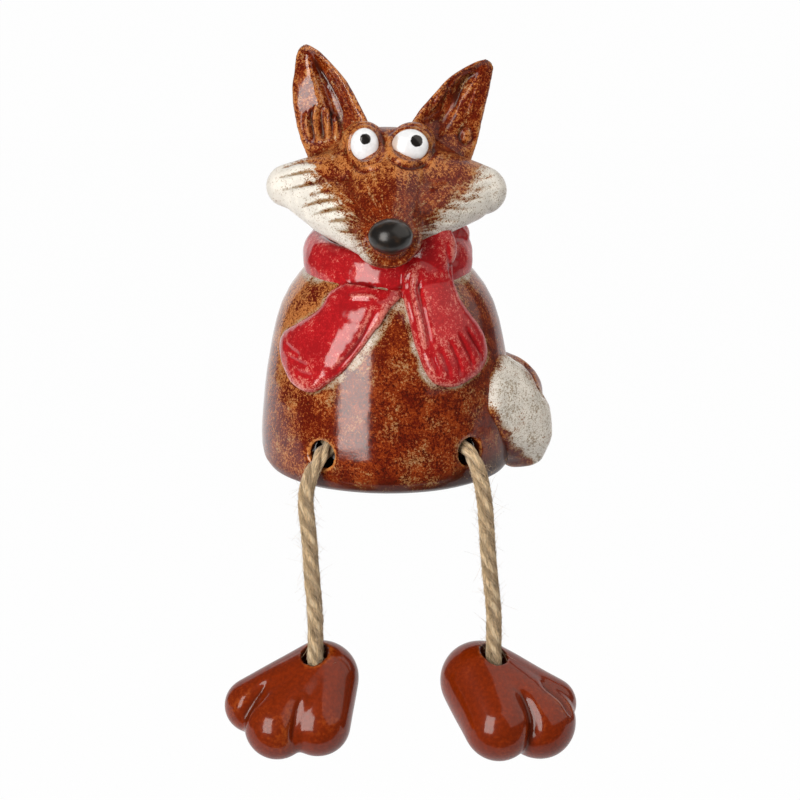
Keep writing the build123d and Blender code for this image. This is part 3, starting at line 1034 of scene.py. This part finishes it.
def make_ear(name, outer, inner, rows=30, sides=48):
    """A cupped ear between two picture outlines that run from its root to its tip."""
    outer, inner = along(outer, rows), along(inner, rows)
    deselect()
    bpy.ops.mesh.primitive_uv_sphere_add(segments=sides, ring_count=rows, radius=1.0)
    ear = bpy.context.object
    ear.name = name
    for vertex in ear.data.vertices:
        height = (vertex.co.z + 1) / 2
        share = 1 - np.arccos(np.clip(vertex.co.z, -1, 1)) / pi
        depth = -3.0 + 5.0 * share
        start = at_depth(between(outer, share), depth + 2.5)
        stop = at_depth(between(inner, share), depth - 2.5)
        centre, half = (start + stop) / 2, (stop - start) / 2
        angle = np.arctan2(vertex.co.y, vertex.co.x) if abs(height - 0.5) < 0.4999 else 0
        across = cos(angle)
        width = np.linalg.norm(half)
        cup = ease(share, 0.14, 0.40) * (1 - ease(share, 0.74, 0.98)) * min(1, width / 7)
        thick = (2.4 + 2.2 * (1 - share)) * min(1, width / 4)
        bow = 1 - across**2
        if sin(angle) >= 0:
            back = (3.2 * cup + thick) * bow**0.5
        else:
            back = cup * np.interp(across, EAR_FACE[0], EAR_FACE[1]) - (1 - ease(share, 0.1, 0.34)) * 5 * bow
        position = centre + half * across + np.array((0, 1, 0.1)) * back
        vertex.co = Vector(position) * MM
    ear.data.update()
    return face_outwards(ear)


# Lines and outlines of the face, as places in the picture.
NOSE_PLACE = np.array((388.5, 236))
EAR_EDGES = {
    "right_ear": (
        [(318, 182), (307, 157), (299, 137), (294, 115), (292, 90), (294, 68), (297, 52), (304, 43)],
        [(366, 160), (371, 140), (369, 124), (361, 107), (345, 79), (324, 56), (315, 49), (306, 44)],
    ),
    "left_ear": (
        [(464, 180), (473, 157), (479, 137), (484, 114), (489.5, 91), (493, 75), (494, 67), (490, 59)],
        [(414, 160), (408, 142), (411, 122), (430, 99), (448, 79), (472, 64), (482, 60), (488, 59)],
    ),
}
CHEEK_EDGES = [
    [
        (240, 150), (305, 158), (312, 165), (316, 176), (322, 187), (332, 195), (343, 205), (348, 216),
        (349.5, 227), (353.5, 237), (361.5, 248), (369.5, 258.6), (372, 300), (230, 300),
    ],
    [
        (540, 150), (486, 160), (484, 163), (476, 176), (465, 192), (452, 203), (439, 216), (428, 229),
        (424, 233), (424, 262), (430, 300), (560, 300),
    ],
]
# Each eye's centre and half sizes, and its pupil's place and radius, in millimetres.
EYE_PLACES = {"right": (364.4, 144.4, 14.2, 16.6), "left": (410.2, 145.6, 18.6, 16.4)}
PUPILS = {"right": ((365.3, 139), 1.72), "left": ((416.8, 140.8), 1.95)}
EAR_HAIRS = [
    [(309.6, 109.5), (306.9, 122.9), (312.2, 141.5)],
    [(318.9, 102.9), (314.9, 114.9), (316.2, 130.8), (318.9, 144.2)],
    [(325.6, 105.6), (328.2, 120.2), (328.2, 141.5)],
    [(332.2, 112.2), (336.2, 128.2), (334.9, 141.5)],
]
EAR_STROKES = [
    [(441, 78), (437, 92), (431, 110)], [(452, 75), (447, 92), (441, 112)],
    [(465, 78), (459, 95), (452, 115)], [(476, 83), (471, 98), (465, 115)],
    [(484, 68), (460, 74), (436, 98), (420, 120)], [(324, 62), (340, 82), (350, 104), (356, 124)],
    [(318, 66), (330, 84), (340, 104), (345, 120)],
]
CHEEK_STROKES = [
    [(326, 162), (306, 162), (288, 166), (277, 171)], [(328, 170), (308, 171.5), (290, 175), (273, 179)],
    [(331, 181), (312, 183.5), (295, 187), (276, 191.5)], [(333, 189), (320, 192), (307, 194.5)],
    [(341, 198), (324, 200.5), (310, 204), (297, 209)], [(345, 207), (332, 209.5), (318, 213), (309, 216)],
    [(351, 219), (340, 220), (326, 222)], [(356, 231), (344, 231), (333, 230)],
    [(462, 178), (478, 178), (496, 174)], [(459, 189), (476, 189), (500, 184)],
    [(450, 197), (468, 199), (488, 197)], [(443, 206), (458, 209), (477, 208)],
    [(434, 217), (446, 220), (462, 220)], [(426, 226), (436, 229), (447, 229)],
]
POUCHES = [
    [(347, 142), (351, 158), (361, 167), (373, 166), (386, 158)],
    [(392, 150), (398, 160), (412, 165), (427, 160), (433, 148)],
]
LIP = [(361.5, 234.7), (365, 246), (372, 256), (388, 264), (404, 261), (414.7, 248), (417.4, 240)]


def round_nose(places):
    """Each picture place's angle round the nose, and its distance."""
    across, down = (places - NOSE_PLACE).T
    return np.arctan2(down, across), np.hypot(across, down)


class FOX_OT_head(bpy.types.Operator):
    """Model the head with its cheeks, muzzle and ears"""

    bl_idname = "fox.head"
    bl_label = "Head"

    def execute(self, context):
        lumps = [lump((0, -1, 91), (24.5, 16.5, 15.0))]
        lumps += [lump((0, -32.8, 78.6), (10.2, 9.4, 9.2))]
        lumps += [lump((-7.3, -10.4, 103.2), (6.6, 6.2, 6.5)), lump((7.6, -10.4, 102.8), (6.9, 6.2, 6.5))]
        # The cheeks and jaw differ from side to side, as on a face that is turned a little.
        for stations in (
            [(0, -6, 91, 15.2), (0, -16, 88.5, 13.6), (0, -26, 83.5, 11.0), (0, -32.5, 79.6, 9.4)],
            [(-9, -8.5, 89, 13.5), (-20, -8.5, 89.2, 9.6), (-30.3, -7.5, 89.5, 6.3)],
            [(9, -8.5, 89, 13.5), (20, -8.5, 88.4, 10.2), (28.5, -7.5, 88.0, 7.3)],
            [(-4, -27, 80.2, 9.0), (-16, -17, 84.9, 9.2), (-25, -10, 88.0, 7.0)],
            [(4, -24, 83.4, 8.6), (14, -18, 84.4, 8.6), (24, -11, 86.6, 7.6)],
            [(-8, -9.0, 100.0, 7.0), (8, -9.0, 100.0, 7.0)],
            [(0, 0, 62, 16.5), (0, 0, 80, 15)],
        ):
            lumps += coil(stations)
        lumps += [make_ear(name, outer, inner) for name, (outer, inner) in EAR_EDGES.items()]
        head = fuse(lumps, "head", grain=0.55, smoothing=12)
        clay = Clay(head)
        self.carve(clay)
        clay.settle()
        self.colour(clay)
        glaze = bpy.data.materials["fox_glaze"]
        dress(head, glaze, "body", "brown_glaze", "head_shell", "right_ear", "left_ear")
        return {"FINISHED"}

    def carve(self, clay):
        front = ease(clay.facing, 0.0, 0.3)
        clay.move += 0.16 * ripple(clay.points, 13, 8) + 0.05 * ripple(clay.points, 4, 9)
        for across, down, half_width, half_height in EYE_PLACES.values():
            clay.press(oval_line(across, down, half_width + 2.2, half_height + 1.8), 0.6, -0.5, 0)
            clay.press(oval_line(across, down + 0.6, half_width + 5.6, half_height + 5.0), 0.7, 0.3, 0)
        for line in POUCHES:
            clay.press(line, 0.9, -0.7)
            clay.press([(x, y + 3.4) for x, y in line], 0.7, 0.55)
        clay.press([(387, 131), (389, 148), (387, 160)], 1.2, -0.8)
        for line in EAR_HAIRS:
            clay.press(line, 0.62, -1.25, 0.25)
        for first, second in zip(EAR_HAIRS, EAR_HAIRS[1:]):
            middle = (along(first, 8) + along(second, 8)) / 2
            clay.press(middle, 0.6, 0.8, 0.2)
        for line in EAR_STROKES:
            clay.press(line, 0.45, 0.42, 0.2)
            clay.press([(x + 3, y + 1) for x, y in line], 0.5, -0.25, 0.2)
        clay.press(oval_line(466.7, 136.2, 7.5, 8.5), 0.7, 0.7, 0)
        clay.press([(466.7, 133), (466.7, 139)], 1.3, -0.7, 0)
        for line in CHEEK_STROKES:
            clay.press(line, 0.7, 0.32)
            clay.press([(x, y + 4.0) for x, y in line], 0.8, -0.2)
        clay.press(LIP, 0.95, -0.9, 0.15)
        clay.press(NOSE_PLACE + (np.array(LIP) - NOSE_PLACE) * 0.87, 0.8, 0.5, 0.15)
        # Combed fur runs out from the nose.
        spread, reach = round_nose(clay.places)
        comb = np.sin(spread * 34 + 2.2 * np.sin(reach / 9) + 1.5 * ripple(clay.points, 9, 41))
        face = front * ease(reach, 30, 60) * (1 - ease(reach, 95, 130))
        face *= 1 - ease(clay.points[:, 1], -9, -4)
        clay.move += 0.07 * comb * face

    def colour(self, clay):
        places = clay.places
        across, down = places.T
        cream = ease(np.maximum(*[inside(places, edge) for edge in CHEEK_EDGES]), -15, 15)
        front = 1 - ease(clay.points[:, 1], -5, 5)
        strokes = np.zeros(len(places))
        for line in CHEEK_STROKES:
            strokes = np.maximum(strokes, clay.tongue(line, 1.15) * (1.2 if line[0][0] < 390 else 0.85))
        lids = np.zeros(len(places))
        for eye_across, eye_down, half_width, half_height in EYE_PLACES.values():
            lid = oval_line(eye_across, eye_down, half_width + 1.5, half_height + 1.2)
            lids = np.maximum(lids, clay.near(lid, 0.8))
        hollow = clay.hollows()
        spread, reach = round_nose(places)
        muzzle = 1 - ease(reach, 25, 75)
        thin = 0.34 - 0.24 * muzzle + 0.12 * ripple(clay.points, 16, 4)
        # Painted light on the forehead and brow, which face up, over the glaze's own golden tone there.
        thin += 0.44 * (1 - ease(down, 160, 222)) * (0.3 + 0.7 * ease(down, 112, 148))
        # Painted shade on the side of the face turned from the key lamp.
        thin -= 0.18 * ease(across, 395, 450)
        thin += np.clip(-hollow * 6, -0.4, 0.42) - 0.30 * lids
        dark = np.clip(hollow * 9 - 0.06, 0, 0.75) * (1 - 0.6 * cream * front)
        clay.paint("cream", cream * front * (1 - 0.52 * strokes))
        clay.paint("thin", thin + 0.25 * ease(cream, 0.05, 0.5))
        clay.paint("dark", np.maximum(np.maximum(dark, strokes * 0.88 * cream), lids * 0.5))
        clay.paint("stain", np.maximum(0.42 + 0.3 * ease(across, 390, 430), 0.75 * (1 - ease(reach, 45, 95))))
        clay.paint("gloss", np.maximum(0.30 + 0.7 * (1 - ease(down, 96, 128)) * (across < 390), lids))
        clay.flow(np.stack([spread * 11, reach * 0.035, clay.points[:, 1] * 0.05], 1))


class FOX_OT_eyes(bpy.types.Operator):
    """Set the white eyes into the brow"""

    bl_idname = "fox.eyes"
    bl_label = "Eyes"

    def execute(self, context):
        glaze = eye_glaze()
        head = Clay(bpy.data.objects["head"])
        for name, (across, down, half_width, half_height) in EYE_PLACES.items():
            look, pupil = PUPILS[name]
            centre = np.array(head.touch((across, down))) - sight(across, down) * 0.45
            step = np.linalg.norm(centre - CAMERA_PLACE) / FOCUS
            eye = lump(centre, (half_width * step, 2.4, half_height * step), (-10, 0, 0), segments=64)
            eye.name = eye.data.name = f"{name}_eye_bead"
            clay = Clay(eye)
            clay.move += 0.10 * ripple(clay.points, 7, 2)
            clay.settle()
            store(eye.data, "gaze", (clay.points - np.array(clay.touch(look))) / pupil)
            x, y = clay.places.T
            dark = ease(np.hypot((x - across) / half_width, (y - down) / half_height), 0.84, 1.04)
            if name == "left":
                dark = np.maximum(dark, np.maximum(1 - ease(x, 392, 408), ease(y, 152, 162)))
            clay.paint("dark", dark)
            shade_smooth(eye)
            dress(eye, glaze, "body", "white_glaze", f"{name}_eye")
        return {"FINISHED"}


class FOX_OT_nose(bpy.types.Operator):
    """Press the nose onto the muzzle"""

    bl_idname = "fox.nose"
    bl_label = "Nose"

    def execute(self, context):
        centre = at_depth((390.3, 236.6), -42.0)
        nose = lump(centre, (6.6, 6.0, 5.3), segments=64)
        nose.name = nose.data.name = "nose_button"
        clay = Clay(nose)
        clay.move += 0.15 * ripple(clay.points, 11, 6)
        clay.settle()
        shade_smooth(nose)
        dress(nose, black_glaze(), "body", "black_glaze", "nose")
        return {"FINISHED"}


def lay_slab(name, left_edge, right_edge, under, thickness, rows=60, columns=36):
    """A slab of clay on what is under it, between two picture edges from its top to its end."""
    left_edge, right_edge = along(left_edge, rows + 1), along(right_edge, rows + 1)
    deselect()
    bpy.ops.mesh.primitive_grid_add(x_subdivisions=columns, y_subdivisions=rows, size=2.0)
    slab = bpy.context.object
    slab.name = name
    for vertex in slab.data.vertices:
        across, share = vertex.co.x, (1 - vertex.co.y) / 2
        start, stop = between(left_edge, share), between(right_edge, share)
        place = (start + stop) / 2 + (stop - start) / 2 * across
        hits = [clay.touch(place) for clay in under]
        hits = [hit for hit in hits if hit is not None]
        if not hits:
            continue
        hit = min(hits, key=lambda found: (found - Vector(CAMERA_PLACE)).length)
        radial = Vector((hit.x, hit.y, 0)).normalized()
        out = (radial * 0.8 + Vector((0, -0.35, 0.15))).normalized()
        crown = max(0.0, 1 - abs(across) ** 3.2) ** 0.42
        crown *= max(0.0, 1 - max(0.0, (share - 0.80) / 0.20) ** 2.6) ** 0.45
        vertex.co = (hit + out * (thickness * crown - 0.8)) * MM
    slab.data.update()
    finish_with(slab, "SOLIDIFY", thickness=5.0 * MM, offset=-1.0)
    return face_outwards(slab)


# Each scarf end's thickness and its two edges in the picture, and the lines pressed into the scarf.
SCARF_ENDS = {
    "right_end": (
        4.4,
        [
            (345, 282), (331, 291), (320, 307), (302, 320), (286, 330), (280.5, 340), (280.5, 353),
            (285, 368), (295, 384), (307, 391), (311, 392),
        ],
        [
            (402, 290), (400, 300), (390, 311), (380, 326), (367.5, 343), (352.5, 363), (335, 380),
            (321, 390.5), (313, 392),
        ],
    ),
    "left_end": (
        4.8,
        [
            (419, 235), (410, 257), (402.5, 273), (402, 290), (405.5, 310), (410, 330), (416, 350),
            (422.5, 368), (432, 382), (442, 387.5),
        ],
        [
            (447, 233), (450, 257), (452.5, 282), (460, 300), (472.5, 317), (482.5, 333), (486.5, 350),
            (484, 365), (472.5, 378), (457, 386), (445, 388),
        ],
    ),
}
SCARF_FOLDS = [
    # (line, width, depth): the right end, then the left end.
    ([(380, 302), (370, 325), (357.5, 347.5), (342.5, 365), (327.5, 380)], 0.9, 0.9),
    ([(388, 304), (377, 327), (364, 350), (348, 369)], 1.0, -0.5),
    ([(284, 343), (291, 350), (300, 357)], 0.7, 0.6),
    ([(288, 357), (297, 362), (308, 367)], 0.7, 0.6),
    ([(294, 371), (303, 374), (313, 376)], 0.7, 0.6),
    ([(345, 297), (362, 296.5), (380, 298)], 1.0, -0.7),
    ([(417.5, 267), (413.5, 287), (417.5, 310), (422.5, 332), (426, 355)], 0.9, -1.0),
    ([(423, 267), (419, 287), (423, 310), (428, 332), (432, 355)], 0.8, 0.7),
    ([(411, 267), (407.5, 287), (411, 310), (416, 332)], 0.7, 0.5),
    ([(465, 325), (474, 340), (480, 350), (482.5, 362)], 0.7, 0.95),
    ([(457, 330), (466, 347), (472, 360), (474, 372)], 0.7, 0.8),
    ([(448, 337), (456, 354), (461, 368), (462, 379)], 0.7, 0.7),
    ([(439, 345), (446, 362), (450, 375), (450, 384)], 0.7, 0.6),
    ([(431, 352), (437, 368), (440, 380)], 0.7, 0.5),
    ([(447, 238), (450, 262), (452, 282)], 0.8, 0.6),
]
# Where the body's slip shows beside the scarf: (line, width, share).
BARE_EDGES = [
    ([(400, 302), (385, 331), (360, 356), (335, 382)], 3.0, 1.0),
    ([(404, 302), (412, 340), (425, 375), (441, 391)], 2.0, 0.6),
    ([(306, 276), (318, 288), (326, 296)], 2.6, 0.5),
    ([(470, 270), (462, 282), (476, 304)], 2.6, 0.5),
]


class FOX_OT_scarf(bpy.types.Operator):
    """Wrap the scarf round the neck and lay its two ends on the chest"""

    bl_idname = "fox.scarf"
    bl_label = "Scarf"

    def execute(self, context):
        profile = []
        for angle in np.linspace(0, 2 * pi, 24, endpoint=False):
            profile.append((21.0 + 4.9 * cos(angle), 66.2 + 8.0 * sin(angle)))
        band = turned("scarf_band_ring", profile, 96)
        for vertex in band.data.vertices:
            vertex.co.z += 0.10 * vertex.co.y
        band.data.update()
        body = Clay(bpy.data.objects["body"])
        ring = Clay(band)
        ends = [
            lay_slab(name, left_edge, right_edge, [body, ring], thickness)
            for name, (thickness, left_edge, right_edge) in SCARF_ENDS.items()
        ]
        knot = lump(at_depth((430, 248), -21.5), (8.0, 4.8, 9.0))
        scarf = fuse([band, *ends, knot], "scarf", grain=0.5, smoothing=5)
        clay = Clay(scarf)
        clay.move += 0.20 * ripple(clay.points, 9, 12) + 0.06 * ripple(clay.points, 3.5, 13)
        for line, width, depth in SCARF_FOLDS:
            clay.press(line, width, depth, 0.25)
        clay.settle()
        hollow = clay.hollows()
        clay.paint("thin", 0.34 + 0.16 * ripple(clay.points, 12, 14) + np.clip(-hollow * 9, -0.3, 0.6))
        clay.paint("dark", np.clip(hollow * 9 - 0.08, 0, 0.9))
        clay.paint("gloss", 1 - 0.6 * ease(clay.points[:, 0], 6, 16))
        dress(scarf, red_glaze(), "body", "red_glaze", "scarf_band", "scarf_right_end", "scarf_left_end")
        self.halo(body, clay)
        return {"FINISHED"}

    def halo(self, body, scarf):
        """Bare slip shows on the body where the glazes meet."""
        gap = np.full(len(body.points), 9.0)
        for index, point in enumerate(body.points):
            if point[2] > 24:
                found = scarf.tree.find_nearest(Vector(point), 8.0)
                if found[0] is not None:
                    gap[index] = found[3]
        skin = body.normals[:, 0] * body.points[:, 0] + body.normals[:, 1] * body.points[:, 1] > 0
        wide = np.zeros(len(body.points))
        for line, width, share in BARE_EDGES:
            wide = np.maximum(wide, share * body.near(line, width))
        reach = 0.25 + 2.3 * wide + 0.8 * ripple(body.points, 5, 21)
        cream = (1 - ease(gap - reach, -0.9, 1.5)) * skin
        body.paint("cream", cream * 0.56)
        thin = np.empty(len(body.points), np.float32)
        body.piece.data.attributes["thin"].data.foreach_get("value", thin)
        body.paint("thin", np.maximum(thin, thin + 0.22 * (1 - ease(gap, 0.5, 4.0)) * skin))


TAIL_CREASE = [(524, 357), (530, 371), (537, 384), (545, 398)]


class FOX_OT_tail(bpy.types.Operator):
    """Lay the tail round the fox's left flank"""

    bl_idname = "fox.tail"
    bl_label = "Tail"

    def execute(self, context):
        stations = [
            # (angle round the body, its distance, height, half depth, half width, half height)
            (114, 35.0, 12.0, 4.0, 4.0, 5.0), (100, 37.0, 14.0, 6.5, 6.0, 9.5),
            (80, 37.5, 15.6, 8.6, 8.0, 12.5), (60, 37.5, 16.6, 10.2, 8.5, 14.6),
            (40, 37.8, 17.4, 12.4, 9.0, 15.4), (22, 38.4, 17.6, 13.2, 8.0, 14.6),
            (13, 38.0, 17.0, 11.4, 6.0, 12.6),
        ]
        # The leaf at the tip: height, half height, then its thick back edge and its thin front edge, each
        # as (angle, distance, half depth, half width).
        leaf = [
            (5.0, 4.0, (-4, 40.5, 7.5, 5.0), (-6, 38.4, 3.6, 4.0)),
            (11.5, 6.0, (-4, 41.0, 9.5, 9.0), (-14, 38.0, 4.0, 5.0)),
            (18.5, 6.5, (-5, 41.0, 9.0, 10.0), (-22, 37.6, 4.0, 5.0)),
            (25.0, 6.0, (-8, 39.4, 7.2, 10.0), (-29, 36.8, 4.0, 5.0)),
            (30.5, 5.0, (-12, 37.6, 5.8, 8.0), (-27, 36.0, 3.6, 4.6)),
            (35.0, 3.0, (-17, 35.6, 4.0, 4.5), (-21, 35.0, 3.0, 3.6)),
        ]

        def ball(height, half_height, angle, distance, half_depth, half_width):
            turn = radians(angle)
            place = (distance * cos(turn), distance * sin(turn), height)
            return lump(place, (half_depth, half_width, half_height), (0, 0, angle), segments=40)

        lumps = []
        for pair in zip(stations, stations[1:]):
            balls = [ball(z, tall, angle, out, deep, wide) for angle, out, z, deep, wide, tall in pair]
            lumps.append(hull(*balls))
        for pair in zip(leaf, leaf[1:]):
            lumps.append(hull(*[ball(z, tall, *edge) for z, tall, *edges in pair for edge in edges]))
        tail = fuse(lumps, "tail_brush", grain=0.6, smoothing=14)
        clay = Clay(tail)
        clay.press(TAIL_CREASE, 1.3, 1.0, 0.1)
        clay.move += 0.22 * ripple(clay.points, 11, 17) + 0.08 * ripple(clay.points, 3.5, 18)
        clay.settle()
        angle = np.degrees(np.arctan2(clay.points[:, 1], clay.points[:, 0]))
        edge = inside(
            clay.places,
            [
                (513, 345), (496, 363), (489, 378), (485, 393), (487, 406), (497, 418), (505, 431),
                (510, 447), (526, 458), (536, 466), (566, 460), (566, 415), (548, 398), (539, 386),
                (531, 373), (524, 358),
            ],
        )
        cream = ease(edge, -6, 9) * (1 - ease(angle + 4 * ripple(clay.points, 9, 19), 8, 22))
        hollow = clay.hollows()
        clay.paint("cream", cream * 0.90)
        clay.paint("stain", np.full(len(clay.points), 0.84))
        clay.paint("gloss", np.full(len(clay.points), 0.35))
        clay.paint("thin", 0.30 + 0.12 * ripple(clay.points, 15, 23) + np.clip(-hollow * 8, -0.3, 0.5))
        # Painted shadow in the crease between the cream tip and the brown hump behind it, and painted shade
        # low on the brown part.
        crease_shadow = clay.near(TAIL_CREASE, 1.4, 0.1)
        clay.paint("dark", np.maximum(crease_shadow * 0.9, 0.5 * (1 - cream) * (1 - ease(clay.points[:, 2], 6, 16))))
        clay.flow(clay.points * 0.09)
        dress(tail, bpy.data.materials["fox_glaze"], "body", "cream_glaze", "tail")
        return {"FINISHED"}


# Each paw's heel and toes: picture place, depth, and radius in picture steps. Then the toes' grooves.
PAW_HEELS = {"right": (322, 677, -34.6, 37.0), "left": (480, 680, -27.6, 40.0)}
PAW_TOES = {
    "right": [(318, 723.5, -43.5, 33.0), (277, 726.5, -45.5, 33.0), (252.5, 705, -38.0, 28.0)],
    "left": [(499, 725, -39.5, 36.0), (539.5, 722.5, -33.5, 36.5), (550, 703, -26.0, 26.5)],
}
PAW_GROOVES = {
    "right": [
        [(302.5, 692), (298.5, 706), (296.5, 720), (294.5, 740), (298.5, 755)],
        [(271, 677), (262, 688), (250, 706), (243, 722), (245, 737)],
    ],
    "left": [
        [(512, 684), (521, 692), (528.5, 705), (533, 724), (530, 742), (523, 758)],
        [(537, 678), (550, 688), (562, 698), (568, 707), (574, 721)],
    ],
}


class FOX_OT_paws(bpy.types.Operator):
    """Model both paws with their toes, bores and knot recesses"""

    bl_idname = "fox.paws"
    bl_label = "Paws"

    def execute(self, context):
        glaze = amber_glaze()
        for label in SIDES:
            mouth = CORD_ROUTES[label][-1]
            heel = pictured(*PAW_HEELS[label])
            lumps = []
            for toe in PAW_TOES[label]:
                lumps += coil([heel, pictured(*toe)], 48)
            paw = fuse(lumps, f"{label}_paw_clay", grain=0.6, smoothing=16)
            # The cord's bore, then the knot's recess.
            for bottom, radius, length in ((-64, 4.0, 40), (-92, 7.0, 30)):
                cut(paw, rod((mouth[0], mouth[1], bottom), (0, 0, 1), radius, length))
            paw = fuse([paw], f"{label}_paw_clay", grain=0.5, smoothing=4)
            clay = Clay(paw)
            clay.move += 0.12 * ripple(clay.points, 14, 27)
            for line in PAW_GROOVES[label]:
                clay.press(line, 2.0, 1.1, 0.3)
                clay.press(line, 0.7, 0.4, 0.25)
            clay.settle()
            shaft = np.hypot(clay.points[:, 0] - mouth[0], clay.points[:, 1] - mouth[1])
            hollow = clay.hollows()
            # Painted shade inside the cord's bore, and darker glaze in the hollows.
            clay.paint("dark", np.maximum(1 - ease(shaft, 3.9, 5.0), np.clip(hollow * 8 - 0.1, 0, 0.6)))
            clay.paint("thin", 0.22 + 0.12 * ripple(clay.points, 16, 29) + np.clip(-hollow * 7, -0.2, 0.45))
            clay.paint("gloss", 0.60 - 0.25 * (1 - ease(clay.points[:, 2], -76, -70)))
            dress(paw, glaze, f"{label}_foot", "amber_glaze", f"{label}_paw")
        return {"FINISHED"}


ROOM_COLOUR = (0.95, 0.97, 1.0, 1.0)
ROOM_STRENGTH = 0.09
SHEETS = (("floor", (0, 2.75, -0.42), 0), ("backdrop", (0, 3.0, 0), pi / 2))
SHEET_SIZE = 6.0
SHEET_GLOW = 0.985
# Each lamp's azimuth from the fox's front towards its left, elevation, distance, width, height, power
# and tint.
LAMPS = {
    "key": (-32, 13, 1.1, 0.58, 1.0, 14.0, (1.0, 0.97, 0.93)),
    "fill": (74, 40, 1.5, 2.6, 2.0, 18.5, (1.0, 0.95, 0.88)),
    "top": (180, 48, 1.4, 1.6, 0.7, 4.0, (1.0, 1.0, 1.0)),
}


class FOX_OT_stage(bpy.types.Operator):
    """Set up the camera, the floor and the studio light"""

    bl_idname = "fox.stage"
    bl_label = "Stage"

    def execute(self, context):
        camera_data = bpy.data.cameras.new("camera")
        camera_data.lens = CAMERA_LENS
        camera_data.sensor_width = CAMERA_SENSOR
        camera = bpy.data.objects.new("camera", camera_data)
        context.scene.collection.objects.link(camera)
        camera.location = Vector(CAMERA_PLACE) * MM
        camera.rotation_euler = Vector(CAMERA_WAY).to_track_quat("-Z", "Y").to_euler()
        context.scene.camera = camera
        context.scene.view_settings.view_transform = "Standard"

        paper = self.paper()
        for name, place, turn in SHEETS:
            deselect()
            bpy.ops.mesh.primitive_plane_add(size=SHEET_SIZE, location=place, rotation=(turn, 0, 0))
            sheet = context.object
            sheet.name = name
            sheet.data.materials.append(paper)

        world = bpy.data.worlds.new("studio")
        context.scene.world = world
        world.use_nodes = True
        tree = world.node_tree
        tree.nodes.clear()
        room = tree.nodes.new("ShaderNodeBackground")
        room.inputs["Color"].default_value = ROOM_COLOUR
        room.inputs["Strength"].default_value = ROOM_STRENGTH
        output = tree.nodes.new("ShaderNodeOutputWorld")
        tree.links.new(room.outputs[0], output.inputs["Surface"])

        for name, settings in LAMPS.items():
            self.softbox(name, *settings)
        return {"FINISHED"}

    def softbox(self, name, azimuth, elevation, distance, width, height, power, tint):
        """A soft light that looks at the fox."""
        turn, rise = radians(azimuth), radians(elevation)
        lamp_data = bpy.data.lights.new(name, "AREA")
        lamp_data.shape = "RECTANGLE"
        lamp_data.size, lamp_data.size_y = width, height
        lamp_data.energy = power
        lamp_data.color = tint
        lamp = bpy.data.objects.new(name, lamp_data)
        bpy.context.scene.collection.objects.link(lamp)
        way = Vector((sin(turn) * cos(rise), -cos(turn) * cos(rise), sin(rise)))
        lamp.location = Vector((0, 0, 0.03)) + way * distance
        lamp.rotation_euler = (-way).to_track_quat("-Z", "Y").to_euler()

    def paper(self):
        """White paper that stays white to the camera and keeps a soft shadow."""
        r = Recipe("white_paper")
        rays = [f"Is {kind} Ray" for kind in ("Camera", "Glossy", "Transmission")]
        camera_ray, glossy_ray, clear_ray = [r.node("ShaderNodeLightPath", output=ray) for ray in rays]
        grain = r.noise(40.0, 2.0)
        tone = r.mix(grain, rgba((0.84, 0.84, 0.84)), rgba((0.88, 0.88, 0.88)))
        paper = r.node("ShaderNodeBsdfDiffuse", {"Color": tone})
        white = r.node("ShaderNodeEmission", {"Strength": 1.0})
        share = (camera_ray + glossy_ray + clear_ray) * SHEET_GLOW
        r.node_output(r.node("ShaderNodeMixShader", {0: share, 1: paper, 2: white}))
        return r.material


STEPS = (
    ("stage", FOX_OT_stage),
    ("cords", FOX_OT_cords),
    ("body", FOX_OT_body),
    ("head", FOX_OT_head),
    ("eyes", FOX_OT_eyes),
    ("nose", FOX_OT_nose),
    ("scarf", FOX_OT_scarf),
    ("tail", FOX_OT_tail),
    ("paws", FOX_OT_paws),
)


class FOX_PT_figurine(bpy.types.Panel):
    """Lists the fox's sizes, colours and pieces"""

    bl_idname = "FOX_PT_figurine"
    bl_label = "Pottery Fox"
    bl_space_type = "VIEW_3D"
    bl_region_type = "UI"
    bl_category = "Fox"

    def draw(self, context):
        for group in (context.scene.fox_sizes, context.scene.fox_colours):
            box = self.layout.box()
            for name in group.__annotations__:
                box.prop(group, name)
        for _, step in STEPS:
            self.layout.operator(step.bl_idname)


CLASSES = (FoxSizes, FoxColours, *[step for _, step in STEPS], FOX_PT_figurine)


def register():
    for item in CLASSES:
        bpy.utils.register_class(item)
    bpy.types.Scene.fox_sizes = PointerProperty(type=FoxSizes)
    bpy.types.Scene.fox_colours = PointerProperty(type=FoxColours)


def unregister():
    del bpy.types.Scene.fox_colours
    del bpy.types.Scene.fox_sizes
    for item in reversed(CLASSES):
        bpy.utils.unregister_class(item)


def main():
    register()
    for name, _ in STEPS:
        getattr(bpy.ops.fox, name)()


if __name__ == "__main__":
    main()
